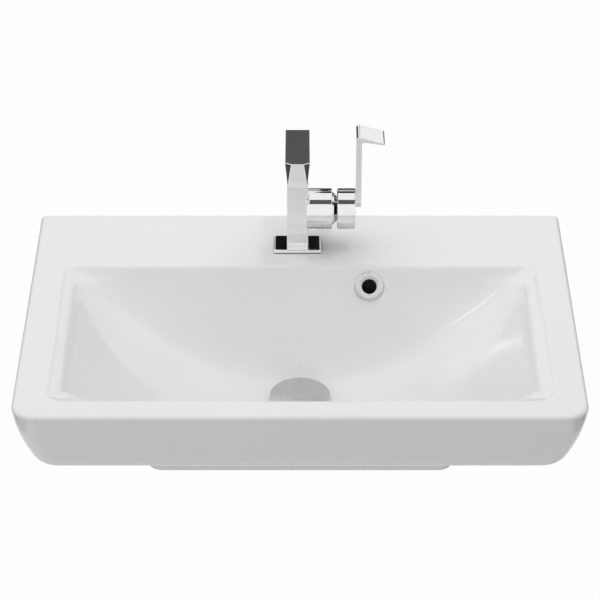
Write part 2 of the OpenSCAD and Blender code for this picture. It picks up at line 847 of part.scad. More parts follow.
module lever_plate() {
    low_z = barrel_z + lever_foot + lever_w / 2;
    color("silver") at_tap() translate([hub_end, 0, 0]) difference() {
        intersection() {
            translate([0, lever_w / 2, 0]) rotate([90, 0, 0]) linear_extrude(lever_w) lever_outline();
            union() {
                translate([-1, 0, low_z]) rotate([0, 90, 0]) cylinder(r = lever_w / 2, h = 40);
                translate([-1, -lever_w / 2, low_z]) cube([40, lever_w, lever_top]);
            }
        }
        for (side = [-1, 1])
            translate([-1, side * screw_side, barrel_z + screw_rise]) rotate([0, 90, 0])
                cylinder(r = screw_r, h = screw_depth + 1 + screw_end);
    }
}

module flange_gasket() {
    color("dimgray") at_waste(seat_z) ring(flange_r - 1.5, waste_hole_r, gasket_waste_t);
}

module waste_body() {
    color("silver") at_waste() difference() {
        union() {
            rotate_extrude() polygon([
                [waste_bore_r, waste_bottom], [waste_r, waste_bottom],
                [waste_r, back_nut_z - groove_l], [waste_r - groove_t, back_nut_z - groove_l],
                [waste_r - groove_t, back_nut_z], [waste_r, back_nut_z], [waste_r, flange_z],
                [flange_r, flange_z], [flange_r, flange_top - 1], [flange_r - 1, flange_top],
                [waste_bore_r + 5, flange_top], [waste_bore_r, flange_top - 4]]);
            for (a = [45, 135])
                rotate([0, 0, a]) translate([-waste_bore_r - 1, -bar_w / 2, guide_bottom - bar_t])
                    cube([2 * waste_bore_r + 2, bar_w, bar_t]);
        }
        for (a = [0:90:270])
            rotate([0, 0, a]) translate([waste_bore_r - 2, -slot_w / 2, boss_bottom + boss_floor_t + 1])
                cube([8, slot_w, chamber_t - 2]);
    }
}

module cone_gasket() {
    color("dimgray") at_waste(boss_bottom - cone_t) rotate_extrude()
        polygon([[waste_r + thread_clear, 0], [cone_r, 0], [cone_top_r, cone_t],
                 [waste_r + thread_clear, cone_t]]);
}

module slip_washer() {
    color("whitesmoke") at_waste(slip_z) ring(cone_r, waste_r + thread_clear, slip_t);
}

module back_nut() {
    color("goldenrod") at_waste(back_nut_z) difference() {
        cylinder(r = back_nut_r, h = back_nut_t, $fn = 6);
        translate([0, 0, -1]) cylinder(r = waste_r + thread_clear, h = back_nut_t + 2);
    }
}

module plug_guide() {
    color("whitesmoke") at_waste() rotate_extrude()
        polygon([[0, guide_bottom], [guide_r, guide_bottom], [guide_r, guide_top],
                 [guide_bore_r, guide_top], [guide_bore_r, guide_top - guide_lip],
                 [chamber_r, guide_top - guide_lip], [chamber_r, spring_bottom], [0, spring_bottom]]);
}

// Coil of the plug's spring, as one tube from the guide's floor to the collar
module plug_spring() {
    steps = 14;
    sides = 6;
    count = spring_turns * steps;
    low = spring_bottom + spring_wire_r;
    rise = spring_top - spring_bottom - 2 * spring_wire_r;
    points = [
        for (i = [0:count], s = [0:sides - 1])
            let (turn = 360 * i / steps, a = 360 * s / sides, r = spring_r + spring_wire_r * cos(a))
                [r * cos(turn), r * sin(turn), low + rise * i / count + spring_wire_r * sin(a)]
    ];
    walls = [
        for (i = [0:count - 1], s = [0:sides - 1])
            let (a = i * sides + s, b = i * sides + (s + 1) % sides)
                each [[a, b, b + sides], [a, b + sides, a + sides]]
    ];
    ends = [[for (s = [sides - 1:-1:0]) s], [for (s = [0:sides - 1]) count * sides + s]];
    color("darkgray") at_waste() polyhedron(points, concat(walls, ends), convexity = 8);
}

module plug_stem() {
    color("goldenrod") at_waste() {
        translate([0, 0, spring_top]) cylinder(r = collar_r, h = collar_t);
        translate([0, 0, spring_top]) cylinder(r = plug_rod_r, h = plug_z - spring_top);
    }
}

module plug_seal() {
    color("dimgray") at_waste(flange_top)
        ring(waste_bore_r + 5 + seal_wall, waste_bore_r + 5, plug_seal_t);
}

module plug_cap() {
    cap_r = flange_r - 0.5;
    color("silver") at_waste(plug_z) rotate_extrude()
        polygon([[0, 0], [cap_r, 0], [cap_r, plug_t - 1.5], [cap_r - 1, plug_t - 0.5],
                 [cap_r - 6, plug_t], [0, plug_t + 0.8]]);
}

basin_body();
overflow_ring();
wall_sleeves();
tap_gasket();
tap_base_plate();
tap_body();
aerator_washer();
aerator_insert();
aerator_housing();
fixing_stud();
horseshoe_rubber();
horseshoe_plate();
fixing_nut();
port_seals();
cartridge_housing();
fixed_disc();
moving_disc();
turning_carrier();
tilting_stem();
retaining_nut();
cover_ring();
handle_hub();
grub_screw();
grub_cover();
lever_screws();
lever_plate();
flange_gasket();
waste_body();
cone_gasket();
slip_washer();
back_nut();
plug_guide();
plug_spring();
plug_stem();
plug_seal();
plug_cap();
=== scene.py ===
import math
import bmesh
import bpy
import numpy as np
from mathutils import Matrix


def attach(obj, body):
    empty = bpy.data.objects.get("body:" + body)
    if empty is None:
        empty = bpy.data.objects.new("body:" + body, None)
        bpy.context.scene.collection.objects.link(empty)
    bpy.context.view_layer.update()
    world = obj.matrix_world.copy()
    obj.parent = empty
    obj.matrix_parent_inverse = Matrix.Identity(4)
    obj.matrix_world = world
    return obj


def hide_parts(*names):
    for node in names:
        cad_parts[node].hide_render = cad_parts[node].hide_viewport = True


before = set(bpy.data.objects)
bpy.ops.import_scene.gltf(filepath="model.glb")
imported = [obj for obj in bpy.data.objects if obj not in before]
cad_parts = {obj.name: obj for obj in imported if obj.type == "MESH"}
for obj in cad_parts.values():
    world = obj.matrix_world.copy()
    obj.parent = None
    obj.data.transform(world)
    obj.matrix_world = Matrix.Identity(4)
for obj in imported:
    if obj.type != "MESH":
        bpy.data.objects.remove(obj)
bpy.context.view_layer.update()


# The studio: the basin hangs at its own height over a pale floor, under one
# large softbox and a small one at its left. Cards that only gloss sees draw
# the bands in the chrome and the glaze. The lens looks 33 degrees down.
RIM_Z = 0.080
CAMERA_Y, CAMERA_RISE = -2.342, 1.413
LENS_PITCH, LENS_MM, SENSOR_MM = 57.0, 154.02, 36.0
AIR_LEVEL = 0.42
FLOOR_DROP, FLOOR_SPAN, FLOOR_SHADE, FLOOR_GLOW = 0.85, 14.0, 0.74, 0.97
LAMP_AIM = (0.0, -0.2, RIM_Z)
BACK_CARD_Y, CARD_BLACK, FADE = 1.15, 0.01, 0.16

scene = bpy.context.scene
scene.view_settings.view_transform = "Standard"

lens = bpy.data.cameras.new("lens")
lens.lens = LENS_MM
lens.sensor_width = SENSOR_MM
lens.clip_end = 60.0
camera = bpy.data.objects.new("camera", lens)
camera.location = (0.0, CAMERA_Y, RIM_Z + CAMERA_RISE)
camera.rotation_euler = (math.radians(LENS_PITCH), 0.0, 0.0)
scene.collection.objects.link(camera)
scene.camera = camera


def new_material(name):
    """An empty node material with its output and one Principled shader."""
    material = bpy.data.materials.new(name)
    material.use_nodes = True
    tree = material.node_tree
    tree.nodes.clear()
    out = tree.nodes.new("ShaderNodeOutputMaterial")
    shader = tree.nodes.new("ShaderNodeBsdfPrincipled")
    tree.links.new(shader.outputs["BSDF"], out.inputs["Surface"])
    return material, tree, shader


def seen_directly(tree):
    """One where the camera, a gloss ray or a glass ray looks, else nought."""
    path = tree.nodes.new("ShaderNodeLightPath")
    total = path.outputs["Is Camera Ray"]
    for name in ("Is Glossy Ray", "Is Transmission Ray"):
        add = tree.nodes.new("ShaderNodeMath")
        add.operation = "MAXIMUM"
        tree.links.new(total, add.inputs[0])
        tree.links.new(path.outputs[name], add.inputs[1])
        total = add.outputs[0]
    return total


def light_world(level):
    """World of one white for the eye and for gloss, and of a level for light."""
    world = bpy.data.worlds.new("studio_air")
    world.use_nodes = True
    tree = world.node_tree
    back = tree.nodes["Background"]
    back.inputs["Color"].default_value = (1.0, 1.0, 1.0, 1.0)
    span = tree.nodes.new("ShaderNodeMapRange")
    span.inputs["To Min"].default_value = level
    span.inputs["To Max"].default_value = 1.0
    tree.links.new(seen_directly(tree), span.inputs["Value"])
    tree.links.new(span.outputs["Result"], back.inputs["Strength"])
    scene.world = world


def softbox(name, place, aim, size, watts):
    """Rectangular lamp at place, turned to face aim; gloss doesn't see it."""
    lamp = bpy.data.lights.new(name, "AREA")
    lamp.shape = "RECTANGLE"
    lamp.size, lamp.size_y = size
    lamp.energy = watts
    obj = bpy.data.objects.new(name, lamp)
    obj.location = place
    way = np.array(aim) - np.array(place)
    obj.rotation_euler = aim_angles(way)
    obj.visible_camera = False
    obj.visible_glossy = False
    scene.collection.objects.link(obj)


def aim_angles(way):
    """Turn of a lamp that shines down its own -z, so that it shines along way."""
    x, y, z = way / np.linalg.norm(way)
    return (math.acos(-z), 0.0, math.atan2(-x, y) if abs(x) + abs(y) > 1e-6 else 0.0)


def card(name, corner, across, along, level, fade_from=None):
    """Flat reflector that only gloss sees: a parallelogram from a corner and
    its two sides, of one grey level. With fade_from, its first FADE metres
    in x run from that grey to its own."""
    a, b, c = np.array(corner), np.array(across), np.array(along)
    mesh = bpy.data.meshes.new(name)
    mesh.from_pydata([tuple(p) for p in (a, a + b, a + b + c, a + c)],
                     [], [(0, 1, 2, 3)])
    material = bpy.data.materials.new(name)
    material.use_nodes = True
    tree = material.node_tree
    tree.nodes.clear()
    out = tree.nodes.new("ShaderNodeOutputMaterial")
    glow = tree.nodes.new("ShaderNodeEmission")
    glow.inputs["Strength"].default_value = level
    if fade_from is not None:
        place = tree.nodes.new("ShaderNodeTexCoord")
        split = tree.nodes.new("ShaderNodeSeparateXYZ")
        span = tree.nodes.new("ShaderNodeMapRange")
        span.inputs["From Min"].default_value = corner[0]
        span.inputs["From Max"].default_value = corner[0] + math.copysign(FADE, across[0])
        span.inputs["To Min"].default_value = fade_from
        span.inputs["To Max"].default_value = level
        tree.links.new(place.outputs["Object"], split.inputs["Vector"])
        tree.links.new(split.outputs["X"], span.inputs["Value"])
        tree.links.new(span.outputs["Result"], glow.inputs["Strength"])
    tree.links.new(glow.outputs["Emission"], out.inputs["Surface"])
    mesh.materials.append(material)
    obj = bpy.data.objects.new(name, mesh)
    scene.collection.objects.link(obj)
    obj.visible_camera = False
    obj.visible_diffuse = False
    obj.visible_shadow = False
    obj.visible_transmission = False


def lay_floor():
    """Pale floor: white to the eye, with a soft trace of the shadow kept."""
    span, z = FLOOR_SPAN, RIM_Z - FLOOR_DROP
    mesh = bpy.data.meshes.new("floor")
    mesh.from_pydata([(-span, -span, z), (span, -span, z), (span, span, z), (-span, span, z)],
                     [], [(0, 1, 2, 3)])
    material, tree, shader = new_material("floor_paint")
    shader.inputs["Base Color"].default_value = (FLOOR_SHADE, FLOOR_SHADE, FLOOR_SHADE, 1.0)
    shader.inputs["Roughness"].default_value = 0.9
    glow = tree.nodes.new("ShaderNodeEmission")
    both = tree.nodes.new("ShaderNodeMixShader")
    clear = tree.nodes.new("ShaderNodeBsdfTransparent")
    under = tree.nodes.new("ShaderNodeMixShader")
    side = tree.nodes.new("ShaderNodeNewGeometry")
    share = tree.nodes.new("ShaderNodeMath")
    share.operation = "MULTIPLY"
    share.inputs[1].default_value = FLOOR_GLOW
    tree.links.new(seen_directly(tree), share.inputs[0])
    tree.links.new(share.outputs[0], both.inputs["Fac"])
    tree.links.new(shader.outputs["BSDF"], both.inputs[1])
    tree.links.new(glow.outputs["Emission"], both.inputs[2])
    tree.links.new(side.outputs["Backfacing"], under.inputs["Fac"])
    tree.links.new(both.outputs["Shader"], under.inputs[1])
    tree.links.new(clear.outputs["BSDF"], under.inputs[2])
    tree.links.new(under.outputs["Shader"], tree.nodes["Material Output"].inputs["Surface"])
    mesh.materials.append(material)
    obj = bpy.data.objects.new("floor", mesh)
    scene.collection.objects.link(obj)


light_world(AIR_LEVEL)
lay_floor()
softbox("top_softbox", (0.0, 0.30, 2.4), LAMP_AIM, (3.4, 2.4), 38.5)
softbox("front_softbox", (-1.2, -2.6, 1.1), LAMP_AIM, (1.6, 1.2), 11.5)
# The first five cards stand behind the basin, for the tap's own bands. The
# gaps between them, where the deck and the front rim reflect, keep dark marks
# out of the glaze.
card("plate_card", (-0.062, BACK_CARD_Y, 0.74), (0.112, 0, 0), (0, 0, 0.18), 0.004)
card("barrel_card_low", (0.030, BACK_CARD_Y, 0.55), (0.085, 0, 0), (0, 0, 0.19), CARD_BLACK)
card("barrel_card_middle", (0.034, BACK_CARD_Y, 0.92), (0.081, 0, 0), (0, 0, 0.195), CARD_BLACK)
card("barrel_card_high", (0.030, BACK_CARD_Y, 1.19), (0.085, 0, 0), (0, 0, 0.70), CARD_BLACK)
card("spout_card", (-0.075, BACK_CARD_Y, 0.12), (0.185, 0, 0), (0, 0, 0.43), 0.10)
card("brow_card", (-0.04, -1.20, 1.68), (0.18, 0, 0), (0, 0.76, 0.36), 0.10)
card("front_card", (-0.5, -2.4, -0.74), (1.0, 0, 0), (0, 1.4, 0), 0.74)
card("left_flag", (-0.9, -1.1, -0.68), (0, 1.5, 0), (0, 0, 0.66), 0.07)
card("right_flag", (0.9, -1.1, -0.68), (0, 1.5, 0), (0, 0, 0.66), 0.07)
for name, side in (("back_left_fade", -1), ("back_right_fade", 1)):
    card(name, (side * 0.28, 1.10, -0.40), (side * 1.1, -0.75, 0), (0, 0, 0.99), 0.10,
         fade_from=1.0)
card("high_window", (-0.66, -0.515, 1.30), (0.09, -0.10, 0), (0.11, 0.09, 0), 5.5)
card("low_window", (-0.484, 0.93, 0.40), (0.010, 0, 0), (0, 0, 0.11), 3.0)


# The basin: one slip-cast body of glazed vitreous china, 12 mm thick, hollow
# under its deck and open below. Its bowl is a trough whose fall from the sides
# meets steeper walls. The back face is left unglazed for firing.
MM = 0.001
BASIN_W, BASIN_D, APRON_H, APRON_T = 550.0, 370.0, 63.0, 14.0
WASTE_Y = -200.0
BOWL_Y, BOWL_HX, BOWL_HY = -222.5, 240.0, 119.5
BOWL_BACK, BOWL_FRONT = BOWL_Y + BOWL_HY, BOWL_Y - BOWL_HY
BOWL_DEPTH, CERAMIC_T, FOOT_H, WALL_PANEL_T = 100.0, 12.0, 125.0, 14.0
SIDE_LEAN, BACK_LEAN, FRONT_LEAN = 0.27, 0.46, 0.50
BOWL_FILLET, BOWL_CORNER_R, TROUGH_POWER = 48.0, 14.0, 1.05
RIM_SOFT, RIM_FLAT, SEAM = 5.0, 12.0, 0.4
EDGE_R, APRON_EDGE_R = 4.0, 6.0
INNER_R, INNER_FILLET, INNER_EDGE = 12.0, 4.0, 1.6
SIDE_TAPER, FRONT_TAPER, TAPER_POWER = 20.0, 5.0, 1.8
FRONT_R, BACK_R = 24.0, 5.0
SEAT_R, SEAT_BLEND, HOLE_R, HOLE_EDGE, BOSS_R = 33.5, 16.0, 23.0, 1.5, 42.0
UNDER_DROP = 3.0
OVERFLOW_X, OVERFLOW_Z, OVERFLOW_BORE_R = 71.5, -18.8, 11.0
OVERFLOW = np.array([OVERFLOW_X, BOWL_BACK + BACK_LEAN * OVERFLOW_Z, OVERFLOW_Z])
TAP_HOLE_X, TAP_HOLE_Y, TAP_HOLE_R = -2.5, -62.7, 14.0
HALVINGS = 44
SHARP, BEVEL_FROM = math.radians(35.0), math.radians(25.0)


def past_corner(qx, qy, r):
    """Signed distance to an outline's arc of radius r, or to the sides that
    it joins, from a point at (qx, qy) from the arc's centre: the length of
    what is positive in them, plus what is negative in both, less r."""
    return np.hypot(np.maximum(qx, 0), np.maximum(qy, 0)) + np.minimum(np.maximum(qx, qy), 0) - r


def box_distance(x, y, half_x, back, front, back_r, front_r):
    """Signed distance to a rounded rectangle between the lines y = back and
    y = front, taken past its nearest corner."""
    middle, half_y = (back + front) / 2, (back - front) / 2
    r = np.where(y > middle, back_r, front_r)
    return past_corner(np.abs(x) - half_x + r, np.abs(y - middle) - half_y + r, r)


def reach(angles, inside, centre, far=700.0):
    """Distance from centre, along each angle, at which inside(x, y) turns
    from negative to positive, found by halving."""
    low, high = np.zeros_like(angles), np.full_like(angles, far)
    for _ in range(HALVINGS):
        t = (low + high) / 2
        out = inside(centre[0] + t * np.cos(angles), centre[1] + t * np.sin(angles)) > 0
        low, high = np.where(out, low, t), np.where(out, t, high)
    return (low + high) / 2


def bowl_inset(x, y, grow):
    """Inset of the bowl's ring that passes through each point, and the share
    of its wall there that faces sideways. The ring at an inset s is the
    opening's rounded rectangle shrunk by s, with corners that grow by s / 2."""
    px, py = np.abs(x), np.abs(y - BOWL_Y)
    low, high = np.full_like(px, -RIM_FLAT), np.full_like(px, BOWL_HY + grow - 1.5)
    for _ in range(HALVINGS):
        s = (low + high) / 2
        r = np.minimum(BOWL_CORNER_R + grow + s / 2, BOWL_HY + grow - s - 1)
        qx, qy = px - (BOWL_HX + grow - s) + r, py - (BOWL_HY + grow - s) + r
        out = past_corner(qx, qy, r) > 0
        low, high = np.where(out, low, s), np.where(out, s, high)
    across, along = np.maximum(qx, 0) ** 2, np.maximum(qy, 0) ** 2
    return s, across / (across + along + 1e-9)


def raw_fall(x, y, grow=0.0, drop=0.0):
    """Depth below the rim: the lesser of the wall's fall, its inset over its
    lean, and the trough's, depth * (1 - (x / half width)^2)^1.05, rounded over
    the fillet where the two meet."""
    s, sideways = bowl_inset(x, y, grow)
    lean = sideways * SIDE_LEAN + (1 - sideways) * np.where(y > BOWL_Y, BACK_LEAN, FRONT_LEAN)
    wall = s / lean
    flat = np.maximum(1 - (x / (BOWL_HX + grow)) ** 2, 0)
    trough = grow - drop + BOWL_DEPTH * flat ** TROUGH_POWER
    wide = np.maximum(np.minimum(BOWL_FILLET, trough + wall), 1e-6)
    near = np.maximum(wide - np.abs(trough - wall), 0) / wide
    met = np.minimum(trough, wall) - near ** 2 * wide / 4
    return np.where(s > 0, met, wall)


def eased(fall):
    """Fall rounded off where the bowl leaves the rim: nought above it, and
    (fall + soft)^2 / (4 * soft) within soft of its edge."""
    rounded = (fall + RIM_SOFT) ** 2 / (4 * RIM_SOFT)
    return np.where(np.abs(fall) < RIM_SOFT, rounded, np.maximum(fall, 0))


def bowl_fall(x, y, grow=0.0, drop=0.0):
    """Depth below the rim of the bowl, or of its underside where it grows."""
    fall = raw_fall(x, y, grow, drop)
    return fall + drop if grow else eased(fall)


def spread(half_x, back, front, back_r, front_r, step, turns):
    """Angles, seen from the waste, of points round a rounded rectangle, close
    together on its corners and a step apart on its sides."""
    sides, corners = [], []
    a = np.linspace(0, np.pi / 2, turns)
    for side, up, r, y in ((1, 1, back_r, back), (-1, 1, back_r, back),
                           (-1, -1, front_r, front), (1, -1, front_r, front)):
        x = side * (half_x - r + r * np.cos(a))
        corners.append(np.stack([x, y - up * r + up * r * np.sin(a)], 1))
    xs = np.arange(-half_x, half_x, step)
    ys = np.arange(front, back, step)
    for y in (back, front):
        sides.append(np.stack([xs, np.full_like(xs, y)], 1))
    for x in (-half_x, half_x):
        sides.append(np.stack([np.full_like(ys, x), ys], 1))
    points = np.concatenate(corners + sides)
    return np.arctan2(points[:, 1] - WASTE_Y, points[:, 0])


def ring_grid(angles, rings, centre):
    """Points of a stack of rings about one axis, each ring a pair of radius
    and height for every angle: centre + radius * (cos, sin), height."""
    r = np.stack([np.broadcast_to(ring[0], angles.shape) for ring in rings])
    z = np.stack([np.broadcast_to(ring[1], angles.shape) for ring in rings])
    return np.stack([centre[0] + r * np.cos(angles), centre[1] + r * np.sin(angles), z], 2)


def quads(rows, columns, wrap_rows=False):
    """Faces of a grid whose columns close on themselves, and whose rows do so
    where wrap_rows is set."""
    i = np.arange(rows if wrap_rows else rows - 1)[:, None]
    j = np.arange(columns)[None, :]
    a, b = i * columns + j, i * columns + (j + 1) % columns
    c, d = ((i + 1) % rows) * columns + (j + 1) % columns, ((i + 1) % rows) * columns + j
    return np.stack([a, b, c, d], -1).reshape(-1, 4)


def capped(rows, columns):
    """Faces of such a grid, with its first and last rings closed by a face."""
    ends = [list(range(columns))[::-1], list(range((rows - 1) * columns, rows * columns))]
    return quads(rows, columns).tolist() + ends


def make_piece(name, parts, material):
    """Object of one or more (points, faces) parts, given in mm from the rim's
    height, with smooth shading up to the SHARP angle."""
    points, faces, count = [], [], 0
    for p, f in parts:
        p = np.asarray(p, float).reshape(-1, 3)
        points.append(p)
        faces.extend((np.asarray(f) + count).tolist() if isinstance(f, np.ndarray)
                     else [[v + count for v in face] for face in f])
        count += len(p)
    place = np.concatenate(points) * MM + (0.0, 0.0, RIM_Z)
    mesh = bpy.data.meshes.new(name)
    mesh.from_pydata(place.tolist(), [], faces)
    mesh.materials.append(material)
    mesh.polygons.foreach_set("use_smooth", np.ones(len(mesh.polygons), bool))
    mesh.set_sharp_from_angle(angle=SHARP)
    mesh.update()
    obj = bpy.data.objects.new(name, mesh)
    scene.collection.objects.link(obj)
    return obj


def finish_mesh(obj, cutters=(), bevel=0.0):
    """Cuts the cutters out of obj, bevels its sharp edges by so many mm, and
    keeps the result as a plain mesh."""
    for cutter in cutters:
        cut = obj.modifiers.new("cut", "BOOLEAN")
        cut.operation = "DIFFERENCE"
        cut.solver = "EXACT"
        cut.material_mode = "TRANSFER"
        cut.object = cutter
    if bevel:
        soft = obj.modifiers.new("bevel", "BEVEL")
        soft.width = bevel * MM
        soft.segments = 3
        soft.limit_method = "ANGLE"
        soft.angle_limit = BEVEL_FROM
    graph = bpy.context.evaluated_depsgraph_get()
    result = bpy.data.meshes.new_from_object(obj.evaluated_get(graph))
    obj.modifiers.clear()
    obj.data = result
    result.polygons.foreach_set("use_smooth", np.ones(len(result.polygons), bool))
    result.set_sharp_from_angle(angle=SHARP)
    for cutter in cutters:
        bpy.data.objects.remove(cutter)
    return obj


def object_noise(tree, size_mm, detail=2.0, rough=0.5):
    """Noise on Object coordinates whose lumps are about size_mm across."""
    place = tree.nodes.new("ShaderNodeTexCoord")
    noise = tree.nodes.new("ShaderNodeTexNoise")
    noise.inputs["Scale"].default_value = 1000.0 / size_mm
    noise.inputs["Detail"].default_value = detail
    noise.inputs["Roughness"].default_value = rough
    tree.links.new(place.outputs["Object"], noise.inputs["Vector"])
    return noise.outputs["Fac"]


def map_range(tree, value, low, high, to_low, to_high):
    """Value between low and high, carried over to between two other values."""
    node = tree.nodes.new("ShaderNodeMapRange")
    node.inputs["From Min"].default_value = low
    node.inputs["From Max"].default_value = high
    node.inputs["To Min"].default_value = to_low
    node.inputs["To Max"].default_value = to_high
    tree.links.new(value, node.inputs["Value"])
    return node.outputs["Result"]


def mix_colour(tree, share, first, second):
    """First colour where share is 0 and second where it is 1."""
    node = tree.nodes.new("ShaderNodeMix")
    node.data_type = "RGBA"
    tree.links.new(share, node.inputs["Factor"])
    for socket, value in (("A", first), ("B", second)):
        target = [s for s in node.inputs if s.name == socket and s.type == "RGBA"][0]
        if isinstance(value, tuple):
            target.default_value = (*value, 1.0)
        else:
            tree.links.new(value, target)
    return [s for s in node.outputs if s.type == "RGBA"][0]


def add_bump(tree, shader, height, distance_mm, strength=1.0):
    """Bump of a height map on the shader, distance_mm deep."""
    bump = tree.nodes.new("ShaderNodeBump")
    bump.inputs["Distance"].default_value = distance_mm * MM
    bump.inputs["Strength"].default_value = strength
    tree.links.new(height, bump.inputs["Height"])
    tree.links.new(bump.outputs["Normal"], shader.inputs["Normal"])


GLAZE, GLAZE_PALE = (0.855, 0.855, 0.852), (0.868, 0.868, 0.868)
CLAY, CLAY_PALE, CLAY_ROUGH = (0.66, 0.64, 0.60), (0.74, 0.72, 0.68), 0.75
# SHADED_CLAY and SHADED_CLAY_PALE are painted shade: clay made nearly black for the dark inside
# the overflow's channel.
SHADED_CLAY, SHADED_CLAY_PALE, SHADED_ROUGH = (0.10, 0.095, 0.09), (0.16, 0.15, 0.14), 0.85
GLAZE_END_Y, CLAY_START_Y = -0.0022, -0.0010


def glazed_china():
    """White glaze on vitreous china: faint orange peel, a tint and a sheen
    that wander a little, and bare clay on the back face."""
    material, tree, shader = new_material("glazed_china")
    tint = map_range(tree, object_noise(tree, 90.0, detail=3.0), 0.3, 0.7, 0.0, 1.0)
    glaze = mix_colour(tree, tint, GLAZE, GLAZE_PALE)
    place = tree.nodes.new("ShaderNodeTexCoord")
    split = tree.nodes.new("ShaderNodeSeparateXYZ")
    tree.links.new(place.outputs["Object"], split.inputs["Vector"])
    bare = map_range(tree, split.outputs["Y"], GLAZE_END_Y, CLAY_START_Y, 0.0, 1.0)
    clay = mix_colour(tree, object_noise(tree, 3.0, detail=4.0), CLAY, CLAY_PALE)
    tree.links.new(mix_colour(tree, bare, glaze, clay), shader.inputs["Base Color"])
    gloss = map_range(tree, object_noise(tree, 22.0, detail=3.0), 0.3, 0.7, 0.055, 0.085)
    rough = tree.nodes.new("ShaderNodeMix")
    rough.inputs["B"].default_value = CLAY_ROUGH
    tree.links.new(bare, rough.inputs["Factor"])
    tree.links.new(gloss, rough.inputs["A"])
    tree.links.new(rough.outputs["Result"], shader.inputs["Roughness"])
    add_bump(tree, shader, object_noise(tree, 14.0, detail=2.0, rough=0.4), 0.05, 0.6)
    return material


def clay_in_painted_shade():
    """Unglazed inside of the overflow's channel and hole, made nearly black: painted shade for the
    dark in there.
    """
    material, tree, shader = new_material("clay_in_painted_shade")
    speck = object_noise(tree, 2.5, detail=4.0)
    tree.links.new(mix_colour(tree, speck, SHADED_CLAY, SHADED_CLAY_PALE),
                   shader.inputs["Base Color"])
    shader.inputs["Roughness"].default_value = SHADED_ROUGH
    add_bump(tree, shader, speck, 0.2)
    return material


china = glazed_china()
# The clay of the overflow's inside, painted dark as shade.
clay = clay_in_painted_shade()


FLOOR_INSET = 50.0
WALL_INSETS = (46, 42, 38.5, 35, 32, 29, 26, 23, 20, 17.5, 15, 12.5, 10, 8, 6.2, 4.8, 3.6, 2.6,
               1.8, 1.1, 0.5)
LIP_OUTSETS = (0.02, 0.5, 1.1, 1.8, 2.6, 3.6, 4.8, 6.2, 8.0, 10.0)


